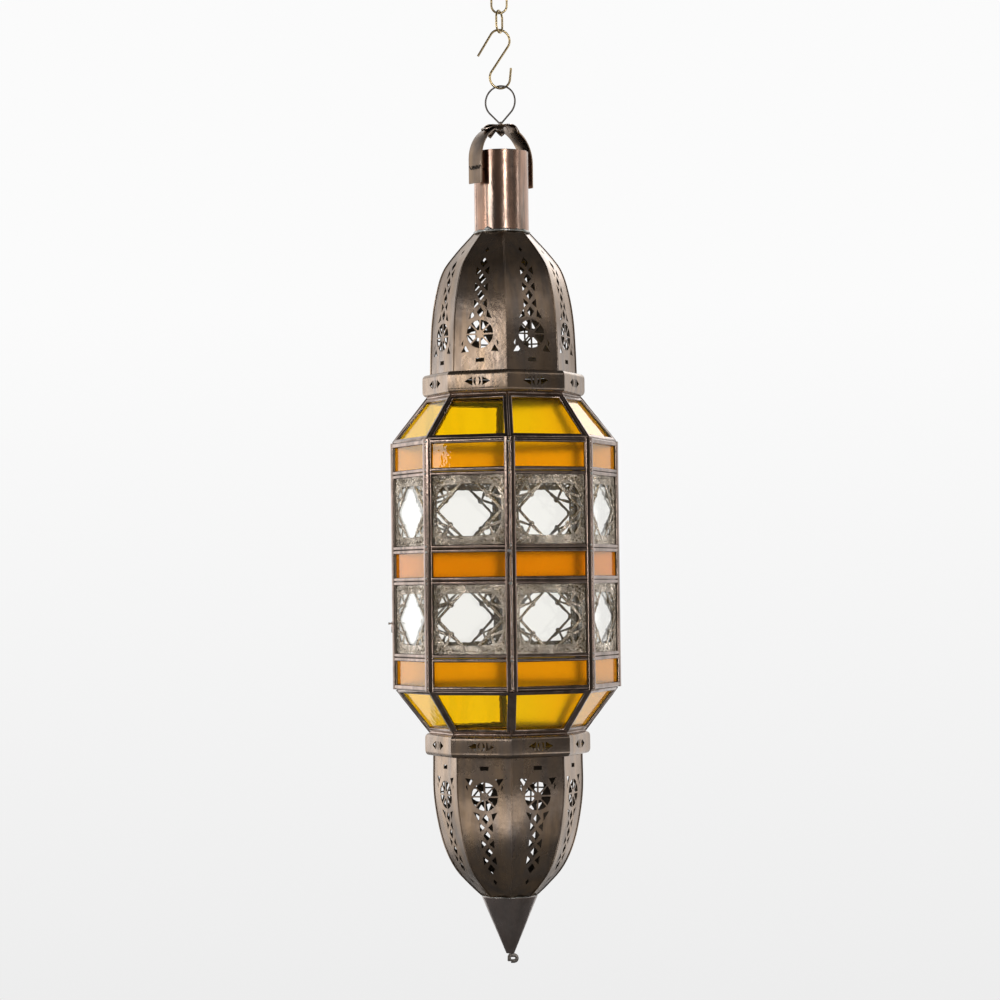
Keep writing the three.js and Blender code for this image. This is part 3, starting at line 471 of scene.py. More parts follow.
# Bail. A strap of bronze sheet bent to an arch over the neck, with its edges broken by a file.
# A pin through both legs carries the neck, and the stem of the ring turns in the top of the arch.
strap_width, bail_spacing, bail_turn = 19, 69, 40
arch_level = crown_top - (bail_spacing + strap_thickness) / 2


def level_of(node):
    """Foot and top of a CAD node, in millimetres."""
    low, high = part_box(node)
    return low[2] / MM, high[2] / MM


def flat_bar(bm, thickness, width, start):
    """Starts a flat strip standing on its end: a square of edges drawn out to its section."""
    section = Matrix.Diagonal((thickness, width, 1, 1)) @ Matrix.Rotation(math.pi / 4, 4, "Z")
    place = Matrix.Translation(start) @ section
    ring = bmesh.ops.create_circle(bm, segments=4, radius=math.sqrt(0.5), matrix=place)
    return list({edge for vert in ring["verts"] for edge in vert.link_edges})


def break_edges(bm, offset, segments=2, angle=50):
    """Rounds every edge sharper than an angle."""
    sharp = [edge for edge in bm.edges if edge.is_manifold and edge.calc_face_angle() > math.radians(angle)]
    bmesh.ops.bevel(bm, geom=sharp, offset=offset, offset_type="OFFSET", segments=segments,
                    profile=0.5, affect="EDGES", material=-1, clamp_overlap=True)


bronze = metal("antique_bronze", (0.31, 0.255, 0.22), (0.15, 0.115, 0.09), (0.48, 0.32, 0.19),
               rough=(0.2, 0.36), size=1.0, streak=0.55, dent=0.6)
leg_foot = level_of("bail_strap")[0]
strap = bmesh.new()
strip = flat_bar(strap, strap_thickness, strap_width, (bail_spacing / 2, 0, leg_foot))
bend(strap, strip, [
    Vector((0, 0, arch_level - leg_foot)),
    (Vector((0, 0, arch_level)), AWAY, math.pi),
    Vector((0, 0, leg_foot - arch_level)),
])
break_edges(strap, 0.4)
turn_about_axis(strap, bail_turn)
hang("bail_arch", strap, bronze, "bail", ["bail_strap"])

# Flower. Eight pointed leaves of thin sheet, cut in one piece and hammered down over the bail.
# The two long leaves lie along the strap and the others curl over its edges.
petal_thickness, petal_width, long_petal, petal_curl, hub_radius = 0.7, 17, 27, 7, 8


def leaf(bend_start, curl, length, width):
    """One leaf along +X with a raised vein, flat near the hub and then bent down round a curl."""
    bm = bmesh.new()
    bmesh.ops.create_grid(bm, x_segments=18, y_segments=8, size=0.5)
    back = bmesh.ops.extrude_face_region(bm, geom=bm.faces[:])["geom"]
    bmesh.ops.translate(bm, verts=verts_in(back), vec=(0, 0, -1))
    for vert in bm.verts:
        along, across = vert.co.x + 0.5, 2 * vert.co.y
        half = width / 2 * math.sin(math.pi * (0.2 + 0.8 * along)) ** 0.75
        vein = 0.7 * math.exp(-(across / 0.22) ** 2) * (1 - along)
        lift = vein + 0.9 * across * across * along + vert.co.z * petal_thickness
        run = along * length
        angle = max(0, run - bend_start) / curl
        vert.co = (
            min(run, bend_start) + (curl + lift) * math.sin(angle),
            across * half,
            (curl + lift) * math.cos(angle) - curl,
        )
    bmesh.ops.remove_doubles(bm, verts=bm.verts, dist=0.02)
    bmesh.ops.recalc_face_normals(bm, faces=bm.faces)
    return bm


flower = bmesh.new()
over_strap = strap_width / 2 + 1
arch_curl = (bail_spacing + strap_thickness) / 2 + petal_thickness
for number in range(8):
    if number % 4 == 0:
        one = leaf(0, arch_curl * 1.35, long_petal, petal_width * 1.1)
    elif number % 4 == 2:
        one = leaf(over_strap * 0.8, petal_curl, over_strap * 0.8 + petal_curl * 2.1, petal_width)
    else:
        one = leaf(over_strap, petal_curl, over_strap + petal_curl * 1.7, petal_width)
    place = Matrix.Rotation(number * math.pi / 4, 4, "Z") @ Matrix.Translation((0, 0, 0.12 * (number % 4)))
    add_to(flower, one, place)
add_to(flower, turned([
    (stem_radius + 0.3, -0.3), (hub_radius, -0.3), (hub_radius, 0.4), (hub_radius - 1.5, 0.9),
    (stem_radius + 0.3, 0.6), (stem_radius + 0.3, -0.3),
], 24))
lift(flower, crown_top + play + petal_thickness / 2)
turn_about_axis(flower, bail_turn)
hang("bail_flower", flower, bronze, "bail", ["bail_rosette"])

# Bail pin. Black wire pushed through the legs and the neck; one end is twisted back and hammered
# flat on its leg, and the other is curled to a small loop.
pin_wire, pin_curl, pin_short = 2.0, 4.2, 0.4
pin_face = (bail_spacing + strap_thickness) / 2 + play + pin_wire / 2
pin_level = level_of("bail_pin")[0] + pin_wire / 2
pin = bmesh.new()
wire = round_bar(pin, pin_wire / 2, (-pin_face + pin_short, 0, 0), (1, 0, 0), 12)
bend(pin, wire, [
    Vector((2 * pin_face - pin_short, 0, 0)),
    (Vector((pin_face, 0, pin_curl)), AWAY, math.pi),
])
twist_turns, twist_radius, twist_wire, twist_length, twist_start = 3, 1.5, 1.5, 15, -8.5
turn_steps = 12
twist_steps = turn_steps * twist_turns
twist = round_bar(pin, twist_wire / 2, (-pin_face, twist_start, twist_radius), (0, 1, 0), 8)
moves = []
for number in range(twist_steps):
    here, there = (2 * math.pi * step / turn_steps for step in (number, number + 1))
    moves.append(Vector((
        0.2 * twist_radius * (math.sin(there) - math.sin(here)),
        twist_length / twist_steps,
        twist_radius * (math.cos(there) - math.cos(here)),
    )))
bend(pin, twist, moves)
lift(pin, pin_level)
turn_about_axis(pin, bail_turn)
hang("bail_wire_pin", pin, dark_wire, "bail", ["bail_pin"])

# Neck. A tube rolled from bronze sheet with a lapped seam, soldered into the top of the upper dome.
# It is the chimney, open above, and the solder stands round its foot in a rough silvery bead.
neck_radius, neck_wall = 27.3, 0.8
neck_bore = neck_radius - neck_wall
lap_width, lap_height, lap_bearing = 5, 0.35, 15
neck_foot, neck_top = level_of("neck_tube")
neck_bronze = metal("neck_bronze", (0.34, 0.27, 0.23), (0.2, 0.155, 0.13), (0.66, 0.38, 0.26),
                    rough=(0.16, 0.27), size=1.6, streak=0.7, dent=0.5)
neck = turned([
    (neck_bore, neck_foot), (neck_radius, neck_foot), (neck_radius, neck_top - 0.25),
    (neck_radius - 0.25, neck_top), (neck_bore + 0.2, neck_top), (neck_bore, neck_top - 0.2),
    (neck_bore, neck_foot),
], 96)
seam = bmesh.new()
lap = flat_bar(seam, lap_height, lap_width, (-neck_radius - 0.1, 0, neck_foot + 0.2))
bend(seam, lap, [Vector((0, 0, neck_top - neck_foot - 0.6))])
break_edges(seam, 0.15, 1)
add_to(neck, seam, Matrix.Rotation(math.radians(lap_bearing), 4, "Z"))
hang("neck", neck, neck_bronze, "lantern", ["neck_tube"])

solder = metal("soft_solder", (0.5, 0.5, 0.49), (0.2, 0.22, 0.2), (0.32, 0.3, 0.26),
               rough=(0.22, 0.5), size=5.0, streak=0.4, dent=1.0)


def solder_blob(bm, place, size, flat=0.5):
    """Adds one lump of solder, squashed and uneven."""
    lump = bmesh.new()
    bmesh.ops.create_icosphere(lump, subdivisions=2, radius=size)
    for vert in lump.verts:
        vert.co *= random.uniform(0.88, 1.1)
    add_to(bm, lump, place @ Matrix.Diagonal((1.3, flat, 1, 1)))


def solder_ring(wire, radius, level, sides):
    """A round of solder about the hanging axis."""
    bm = bmesh.new()
    ring = round_bar(bm, wire, (radius, 0, level), (0, 1, 0), sides)
    bmesh.ops.spin(
        bm, geom=bm.verts[:] + ring, cent=(0, 0, 0), axis=(0, 0, 1), angle=2 * math.pi,
        steps=120, use_merge=True, use_duplicate=False)
    bmesh.ops.remove_doubles(bm, verts=bm.verts, dist=0.001)
    return bm


def swell(vert, *waves):
    """How far solder stands up at a point: (height, count, phase) waves round the axis."""
    bearing = math.atan2(vert.co.y, vert.co.x)
    return sum(height * math.sin(count * bearing + phase) for height, count, phase in waves)


fillet_level = neck_foot + 0.4
fillet = solder_ring(1.25, neck_radius + 0.1, fillet_level, 10)
for vert in fillet.verts:
    rise = swell(vert, (0.35, 7, 0), (0.25, 17, 1), (0.15, 41, 0))
    vert.co.z += max(rise, -0.1) * (1 if vert.co.z > fillet_level else 0.3)
bmesh.ops.recalc_face_normals(fillet, faces=fillet.faces)
# Bearing, height over the foot and size of each lump on the fillet.
fillet_lumps = (
    (-123, 2.2, 2.4), (-117, 1.4, 1.6), (-129, 1.2, 1.5), (-60, 1.0, 1.4), (30, 1.3, 1.7), (110, 1.2, 1.6),
)
for bearing, height, size in fillet_lumps:
    turn = Matrix.Rotation(math.radians(bearing + 90), 4, "Z")
    solder_blob(fillet, turn @ Matrix.Translation((0, -neck_radius - 0.2, neck_foot + height)), size)
hang("neck_solder", fillet, solder, "lantern", [], 60)

# Upper dome. Eight gores of bronze sheet with their edges folded together, each pierced with a chisel:
# a wheel below a ladder of diamonds, with a staple slot at the foot and an eyelet near the neck.
FACES = 8
HALF = math.pi / FACES
dome_wall = 1.0
# Radius at a corner and distance from the mouth, from mouth to crown.
upper_dome_profile = [(72.8, 0), (72, 26), (70.3, 54), (66.2, 80), (58.8, 104), (46.6, 121), (28, 141.6)]
dome_bends = 44
slot_half, slot_foot, slot_top = 4.5, 8, 12
wheel_radius, wheel_hub, wheel_bar, wheel_openings = 15.5, 4.2, 1.5, 8
ladder_foot, ladder_pitch, ladder_diamonds = 37.4, 16.6, 4
eyelet_level = 101
# Triangles beside the wheel, on one side and measured from the foot of the motif.
gore_darts = (
    ((20, -2.4), (11.6, -1.6), (15.2, 5)),
    ((19.4, 6.4), (17.2, 10.4), (18, 3.4)),
    ((12.6, 30.4), (6.2, 32.4), (7.2, 40)),
)


def radius_at(profile, height):
    """Corner radius at a height, on a smooth curve through the points of a profile."""
    last = len(profile) - 1
    span = next((i for i in range(last) if height <= profile[i + 1][1]), last - 1)
    slopes = []
    for i in (span, span + 1):
        (below, foot), (above, top) = profile[max(i - 1, 0)], profile[min(i + 1, last)]
        slopes.append((above - below) / (top - foot))
    (start, foot), (end, top) = profile[span], profile[span + 1]
    part, width = (height - foot) / (top - foot), top - foot
    square, cube = part * part, part ** 3
    return ((2 * cube - 3 * square + 1) * start + (cube - 2 * square + part) * width * slopes[0]
            + (3 * square - 2 * cube) * end + (cube - square) * width * slopes[1])


def cut_sheet(outline, holes, upright, across=()):
    """Cuts a flat sheet with holes, standing in the XZ plane, and scores it at levels so that it can be bent."""
    bm = bmesh.new()
    for loop in (outline, *holes):
        points = [bm.verts.new((x, 0, z)) for x, z in loop]
        for pair in zip(points, points[1:] + points[:1]):
            bm.edges.new(pair)
    bmesh.ops.triangle_fill(bm, edges=bm.edges, use_beauty=True, use_dissolve=False, normal=(0, -1, 0))
    for axis, places in ((2, upright), (0, across)):
        normal = Vector((0, 0, 0))
        normal[axis] = 1
        for place in places:
            bmesh.ops.bisect_plane(bm, geom=bm.verts[:] + bm.edges[:] + bm.faces[:], dist=0.0005,
                                   plane_co=normal * place, plane_no=normal)
    return bm


def all_round(bm, faces=range(FACES)):
    """Repeats what is drawn on the face at -Y round the lantern, and joins the seams."""
    spare = bpy.data.meshes.new("spare")
    bm.to_mesh(spare)
    bm.free()
    whole = bmesh.new()
    for face in faces:
        turned_copy = spare.copy()
        turned_copy.transform(Matrix.Rotation(2 * HALF * (face + 0.5), 4, "Z"))
        whole.from_mesh(turned_copy)
        bpy.data.meshes.remove(turned_copy)
    bpy.data.meshes.remove(spare)
    bmesh.ops.remove_doubles(whole, verts=whole.verts, dist=0.004)
    return whole


def thicken(bm, wall, rolled=False):
    """Gives an eight-sided sheet its thickness inwards, mitred at the seams."""
    levels = [vert.co.z for vert in bm.verts]
    low, high = min(levels) + wall, max(levels) - wall
    inner = bmesh.ops.extrude_face_region(bm, geom=bm.faces[:])["geom"]
    for vert in verts_in(inner):
        bearing = math.atan2(vert.co.x, -vert.co.y) % (2 * HALF) - HALF
        apothem = math.hypot(vert.co.x, vert.co.y) * math.cos(bearing)
        shrink = (apothem - wall) / apothem
        level = min(max(vert.co.z, low), high) if rolled else vert.co.z
        vert.co = (vert.co.x * shrink, vert.co.y * shrink, level)
    bmesh.ops.recalc_face_normals(bm, faces=bm.faces)


def diamond(x, z, half_width, half_height):
    """A diamond, as a loop of points."""
    return [(x + half_width, z), (x, z + half_height), (x - half_width, z), (x, z - half_height)]


def gore_holes(foot):
    """The openings of one gore: slot, wheel with small darts at its sides, ladder and eyelet."""
    holes = [[(-slot_half, slot_foot), (slot_half, slot_foot), (slot_half, slot_top), (-slot_half, slot_top)]]
    centre = foot + wheel_radius
    rim = wheel_radius - wheel_bar
    half = math.pi / wheel_openings
    for opening in range(wheel_openings):
        turn = (2 * opening + 1) * half
        wide, tight = (half - wheel_bar / 2 / radius for radius in (rim, wheel_hub))
        loop = [(rim, turn - wide), (rim, turn), (rim, turn + wide)]
        loop += [(wheel_hub, turn + tight), (wheel_hub, turn - tight)]
        holes.append([(r * math.cos(a), centre + r * math.sin(a)) for r, a in loop])
    for side in (-1, 1):
        for dart in gore_darts:
            holes.append([(side * x, foot + z) for x, z in dart])
    ladder = foot + ladder_foot
    for number in range(ladder_diamonds):
        holes.append(diamond(0, ladder + number * ladder_pitch, 3.9, 5.2))
    for number in range(ladder_diamonds - 1):
        middle = ladder + (number + 0.5) * ladder_pitch
        for side in (-1, 1):
            holes.append([(side * 1.7, middle), (side * 6.8, middle + 4.6), (side * 6.8, middle - 4.6)])
    holes.append(diamond(0, foot + eyelet_level, 2, 3))
    return holes


def pierced_dome(profile, foot):
    """The eight gores of a dome, mouth at z = 0 and crown above, with the folded seams between them."""
    top = profile[-1][1]
    levels = [top * step / dome_bends for step in range(dome_bends + 1)]
    edge = [(radius_at(profile, z) * math.sin(HALF), z) for z in levels]
    outline = edge + [(-x, z) for x, z in reversed(edge)]
    gore = cut_sheet(outline, gore_holes(foot), levels[1:-1])
    for vert in gore.verts:
        vert.co.y = -radius_at(profile, vert.co.z) * math.cos(HALF)
    dome = all_round(gore)
    thicken(dome, dome_wall)
    for corner in range(FACES):
        rib = bmesh.new()
        ends = [Vector((0, -radius_at(profile, z) - 0.15, z)) for z in levels]
        fold = round_bar(rib, 0.75, ends[0], (0, 0, 1), 8)
        bend(rib, fold, [there - here for here, there in zip(ends, ends[1:])])
        add_to(dome, rib, Matrix.Rotation(2 * HALF * corner, 4, "Z"))
    return dome


upper_dome = pierced_dome(upper_dome_profile, 20)
lift(upper_dome, level_of("upper_dome")[0])
hang("pierced_dome_upper", upper_dome, bronze, "lantern", ["upper_dome"], hollow=True)

# Lower dome. The same eight gores, pierced and folded together, on a longer curve.
# It hangs mouth up below the lower collar.
lower_dome_profile = [(73.8, 0), (73.6, 38), (68.6, 72), (61.6, 96), (51.4, 115), (36.8, 131), (27.6, 139.6)]
lower_dome = pierced_dome(lower_dome_profile, 22)
bmesh.ops.rotate(lower_dome, verts=lower_dome.verts, cent=(0, 0, 0), matrix=Matrix.Rotation(math.pi, 3, "X"))
lift(lower_dome, level_of("lower_dome")[1])
hang("pierced_dome_lower", lower_dome, bronze, "lantern", ["lower_dome"], hollow=True)

# Collars. A channel of bronze sheet round each end of the glazed part, flat on its eight sides and
# rolled over above and below. A slit eye between two darts is pierced in every side.
collar_height, collar_edge, collar_rise, collar_wall, collar_lip = 22, 4.4, 5, 1.0, 10.4
dart_tip, dart_foot, slit_side, slit_bow, eye_half = 13.5, 5.2, 0.7, 3.2, 4.4


def collar_radius(radius, z):
    """Corner radius of a collar at a height above its foot, less where its edges are rolled over."""
    near = min(z, collar_height - z)
    if near >= collar_rise:
        return radius
    return radius - collar_edge * (1 - math.sqrt(1 - (1 - near / collar_rise) ** 2))


def collar(radius, foot_lip, top_lip):
    """A whole collar with its foot at z = 0."""
    bends = [collar_rise * (1 - math.cos(step * math.pi / 16)) for step in range(9)]
    levels = bends + [collar_height - z for z in reversed(bends)]
    middle = collar_height / 2
    edge = [(collar_radius(radius, z) * math.sin(HALF), z) for z in levels]
    outline = edge + [(-x, z) for x, z in reversed(edge)]
    holes = []
    arc = [step * math.pi / 8 for step in range(9)]
    lid = [(math.cos(angle) * eye_half, slit_bow * math.sin(angle)) for angle in arc]
    for side in (-1, 1):
        holes.append([(side * dart_tip, middle), (side * dart_foot, middle + eye_half),
                      (side * dart_foot, middle - eye_half)])
        slit = [(side * (slit_side + x), middle + z) for z, x in lid]
        slit += [(side * (slit_side + 0.35 * x), middle + z) for z, x in reversed(lid[1:-1])]
        holes.append(slit)
    sheet = cut_sheet(outline, holes, levels[1:-1] + [middle])
    for vert in sheet.verts:
        vert.co.y = -collar_radius(radius, vert.co.z) * math.cos(HALF)
    for level, lip in ((0, foot_lip), (collar_height, top_lip)):
        rim = [edge for edge in sheet.edges if all(abs(vert.co.z - level) < 0.001 for vert in edge.verts)]
        grown = bmesh.ops.extrude_edge_only(sheet, edges=rim)["geom"]
        scale = (radius - lip) / collar_radius(radius, level)
        for vert in verts_in(grown):
            vert.co.x *= scale
            vert.co.y *= scale
    whole = all_round(sheet)
    thicken(whole, collar_wall, rolled=True)
    return whole


for side, radius, foot_lip in (("upper", 81.3, collar_lip), ("lower", 82.4, 16.4)):
    whole = collar(radius, foot_lip, collar_lip)
    lift(whole, level_of(f"{side}_collar")[0])
    hang(f"rolled_collar_{side}", whole, bronze, "lantern", [f"{side}_collar"], hollow=True)

# Came frames of the straight storey. Each face is a ladder of bronze came: two posts with a rounded
# front, and pairs of beads between the rows of panes, soldered where they meet.
body_radius, came_depth, stile_width, rail_height, bar_half = 114.6, 3.2, 6.6, 5, 4
row_heights = (23, 67, 23, 67, 23)
body_foot, body_top = level_of("face_frame_1")
body_front = -body_radius * math.cos(HALF)
body_half = body_radius * math.sin(HALF)
open_half = body_half - stile_width
rows = []
row_top = body_top - rail_height
for height in row_heights:
    rows.append((row_top - height, row_top))
    row_top -= height + 2 * bar_half


def came(bm, section, run):
    """Draws a closed section of came along a straight run."""
    points = [bm.verts.new(point) for point in section]
    loop = [bm.edges.new(pair) for pair in zip(points, points[1:] + points[:1])]
    bend(bm, loop, [Vector(run)])


def bead_front(low, high, front, soft_low, soft_high):
    """Front of a bead from one edge to the other: (across, depth) points of a rounded bar."""
    arc = [(1 - math.sin(step * math.pi / 8), 1 - math.cos(step * math.pi / 8)) for step in range(5)]
    rising = [(low + soft_low * x, front + soft_low * y) for x, y in arc]
    falling = [(high - soft_high * x, front + soft_high * y) for x, y in arc]
    return rising[::-1] + falling


def face_came():
    """The came of one face, drawn at -Y."""
    bm = bmesh.new()
    back = body_front + came_depth
    mitre = body_half - came_depth * math.tan(HALF)
    post = bead_front(open_half, body_half - 0.5, body_front, 1.9, 1.1)
    post = [(open_half, back)] + post + [(mitre - 0.15, back)]
    for side in (-1, 1):
        came(bm, [(side * x, y, body_foot + 0.1) for x, y in post], (0, 0, body_top - body_foot - 0.2))
    beads = [(body_foot + 0.2, rows[-1][0]), (rows[0][1], body_top - 0.2)]
    for above, below in zip(rows, rows[1:]):
        middle = (above[0] + below[1]) / 2
        beads += [(middle, above[0]), (below[1], middle)]
    for low, high in beads:
        bead = bead_front(low + 0.1, high - 0.1, body_front + 0.3, 1.5, 1.5)
        bead = [(low + 0.1, back)] + bead + [(high - 0.1, back)]
        came(bm, [(-open_half - 1.6, y, z) for z, y in bead], (2 * open_half + 3.2, 0, 0))
    return bm


came_bronze = metal("came_bronze", (0.33, 0.255, 0.215), (0.13, 0.1, 0.08), (0.5, 0.36, 0.3),
                    rough=(0.08, 0.2), size=2.2, streak=0.4, dent=0.3)
door_face = 5
fixed_faces = [face for face in range(FACES) if face != door_face]


def on_face(drawn, face, shift=(0, 0, 0)):
    """Moves what is drawn at -Y by a shift, and then turns it to its face of the lantern."""
    bm = bmesh.new()
    add_to(bm, drawn, Matrix.Rotation(2 * HALF * (face + 0.5), 4, "Z") @ Matrix.Translation(shift))
    return bm


hinge_reach, hinge_spread, knuckle, hinge_leaf = 2.3, 122, 5, 7
hinge_x = body_half + hinge_reach * math.sin(HALF)
hinge_y = body_front - hinge_reach * math.cos(HALF)
hinge_feet = [body_foot + (body_top - body_foot + side * hinge_spread) / 2 - knuckle for side in (1, -1)]


def hinge_half(side, foot):
    """Half a butt hinge on the post at one side: a rolled knuckle and a leaf soldered to the came."""
    bm = bmesh.new()
    barrel = turned([
        (1.15, 0), (1.7, 0), (1.9, 0.2), (1.9, knuckle - 0.2), (1.7, knuckle), (1.15, knuckle), (1.15, 0),
    ], 24)
    add_to(bm, barrel, Matrix.Translation((side * hinge_x, hinge_y, foot)))
    leaf_start = side * (body_half - hinge_leaf)
    plate = bmesh.new()
    section = [(leaf_start, body_front - 1.1), (side * hinge_x, hinge_y + 1.0),
               (side * hinge_x, hinge_y + 1.9), (leaf_start, body_front - 0.2)]
    came(plate, [(x, y, foot + 0.1) for x, y in section], (0, 0, knuckle - 0.2))
    break_edges(plate, 0.15, 1)
    add_to(bm, plate)
    drop = (side * (body_half - hinge_leaf + 1), body_front - 0.3, foot + knuckle / 2)
    solder_blob(bm, Matrix.Translation(drop), 1.6, 0.4)
    return bm


latch_level = body_foot + (body_top - body_foot) / 2 - 57
latch_x = body_half - 4
stud_reach = 3.2


def latch_stud(x, sunk):
    """A riveted stud standing out of a post, rooted some way behind the front of the door."""
    head = sunk + 1.4
    bm = turned([
        (0, 0), (0.8, 0), (0.8, head), (1.3, head), (1.44, head + 0.15), (0.9, head + 0.45), (0, head + 0.5),
    ], 16)
    bmesh.ops.rotate(bm, verts=bm.verts, cent=(0, 0, 0), matrix=Matrix.Rotation(math.pi / 2, 3, "X"))
    bmesh.ops.translate(bm, verts=bm.verts, vec=(x, body_front + sunk, latch_level))
    return bm


for number, face in enumerate(fixed_faces, start=1):
    frame_came = face_came()
    if face == door_face - 1:
        for foot in hinge_feet:
            add_to(frame_came, hinge_half(1, foot))
    if face == door_face + 1:
        add_to(frame_came, latch_stud(body_half + stud_reach, stud_reach + 1), Matrix.Rotation(-2 * HALF, 4, "Z"))
    hang(f"face_came_{number}", on_face(frame_came, face), came_bronze, "lantern", [f"face_frame_{number}"],
         50, True)

door_came = face_came()
for foot in hinge_feet:
    add_to(door_came, hinge_half(-1, foot + knuckle + play))
add_to(door_came, latch_stud(latch_x, 1))
hang("door_came", on_face(door_came, door_face), came_bronze, "door", ["door_frame"], 50, True)

# Solder at the posts. A lump of soft solder stands where the beads of two faces meet at a corner,
# but not on the two posts that the door closes against.
lump_sunk = 1.3
lumps = bmesh.new()
for corner in range(FACES):
    if corner in (door_face, door_face + 1):
        continue
    turn = Matrix.Rotation(2 * HALF * corner, 4, "Z")
    for low, high in rows:
        for level, size in ((low - 1.5, 1.0), (high + 1.5, 1.15)):
            shift = (random.uniform(-1, 1), -body_radius + lump_sunk, level + random.uniform(-0.8, 0.8))
            solder_blob(lumps, turn @ Matrix.Translation(shift), size * random.uniform(0.8, 1.5), 0.7)
hang("post_solder", lumps, solder, "lantern", [], 60)

# Sloping storeys. Eight leaning trapezoids of the same came close the glazed part above and below.
# Their sides are mitred, and the collars sit on their narrow ends.
slope_depth, slope_rim, slope_bead, slope_gap = 2.6, 5, 1.5, 0.35
shoulder_foot, shoulder_top = level_of("shoulder_frame")
hip_foot, hip_top = level_of("hip_frame")
# Wide and narrow corner radius of each slope, and the levels of its wide and narrow edge.
slopes = {
    "shoulder": ((112.8, 77.2), (shoulder_foot, shoulder_top)),
    "hip": ((111.5, 78), (hip_top, hip_foot)),
}


def slope_face(radii, rise, rim, front_depth, depth, pane=False):
    """One leaning trapezoid at -Y with its wide edge at z = 0: a rounded rim, or the pane inside it."""
    wide, narrow = (radius * math.sin(HALF) for radius in radii)
    run = (radii[0] - radii[1]) * math.cos(HALF)
    length = math.hypot(run, rise)
    lean = math.atan2(run, rise)
    side = rim / math.cos(math.atan2(wide - narrow, length))

    def width_at(s):
        return wide + (narrow - wide) * s / length

    low, high = width_at(rim) - side, width_at(length - rim) - side
    inner = [(-low, rim), (low, rim), (high, length - rim), (-high, length - rim)]
    flat = bmesh.new()
    if pane:
        flat.faces.new([flat.verts.new((x, front_depth, z)) for x, z in inner])
    else:
        outer = [(-wide + slope_gap, 0.1), (wide - slope_gap, 0.1),
                 (narrow - slope_gap, length - 0.1), (-narrow + slope_gap, length - 0.1)]
        loops = []
        for loop in (outer, inner):
            points = [flat.verts.new((x, front_depth, z)) for x, z in loop]
            loops += [flat.edges.new(pair) for pair in zip(points, points[1:] + points[:1])]
        bmesh.ops.bridge_loops(flat, edges=loops)
    grown = bmesh.ops.extrude_face_region(flat, geom=flat.faces[:])["geom"]
    shrink = 1 - depth * math.tan(HALF) / wide
    for vert in verts_in(grown):
        vert.co.y += depth
        at_mitre = abs(vert.co.x) > high + 0.5 and abs(vert.co.x) > width_at(vert.co.z) - 2
        if at_mitre and not pane:
            vert.co.x *= shrink
    bmesh.ops.recalc_face_normals(flat, faces=flat.faces)
    if pane:
        break_edges(flat, 0.2, 1)
    else:
        fronts = [edge for edge in flat.edges if all(abs(vert.co.y - front_depth) < 0.001 for vert in edge.verts)
                  and edge.calc_face_angle() > 0.5]
        bmesh.ops.bevel(flat, geom=fronts, offset=slope_bead, offset_type="OFFSET", segments=4,
                        profile=0.5, affect="EDGES", material=-1, clamp_overlap=True)
    leaning = bmesh.new()
    place = Matrix.Translation((0, -radii[0] * math.cos(HALF), 0)) @ Matrix.Rotation(-lean, 4, "X")
    add_to(leaning, flat, place)
    return leaning


def slope_ring(radii, levels, **cut):
    """All eight faces of a sloping storey, turned over where it narrows downwards."""
    wide_level, narrow_level = levels
    whole = all_round(slope_face(radii, abs(narrow_level - wide_level), **cut))
    if narrow_level < wide_level:
        bmesh.ops.rotate(whole, verts=whole.verts, cent=(0, 0, 0), matrix=Matrix.Rotation(math.pi, 3, "X"))
    lift(whole, wide_level)
    return whole


for name, (radii, levels) in slopes.items():
    ring = slope_ring(radii, levels, rim=slope_rim, front_depth=0, depth=slope_depth)
    hang(f"{name}_came", ring, came_bronze, "lantern", [f"{name}_frame"], 50, hollow=True)

# Solder of the slopes. A rib of solder closes each corner seam, and a bead runs round where the collar
# sits on the narrow end.
seam_radius, seam_sunk, seam_pieces, unevenness = 1.5, 1.1, 12, 0.1


def solder_bar(bm, start, end):
    """Adds a bar of solder from point to point, a little uneven."""
    bar = bmesh.new()
    ring = round_bar(bar, seam_radius, start, end - start, 8)
    bend(bar, ring, [(end - start) / seam_pieces] * seam_pieces)
    for vert in bar.verts:
        vert.co += Vector([random.uniform(-1, 1) for _ in range(3)]) * unevenness
    add_to(bm, bar)


for name, (radii, levels) in slopes.items():
    seams = bmesh.new()
    wide = Vector((0, -radii[0] + seam_sunk + 0.6, levels[0]))
    narrow = Vector((0, -radii[1] + seam_sunk, levels[1]))
    for corner in range(FACES):
        turn, ahead = (Matrix.Rotation(2 * HALF * place, 3, "Z") for place in (corner, corner + 1))
        solder_bar(seams, turn @ wide, turn @ narrow)
        solder_bar(seams, turn @ narrow, ahead @ narrow)
    hang(f"{name}_solder", seams, came_bronze, "lantern", [], 60)


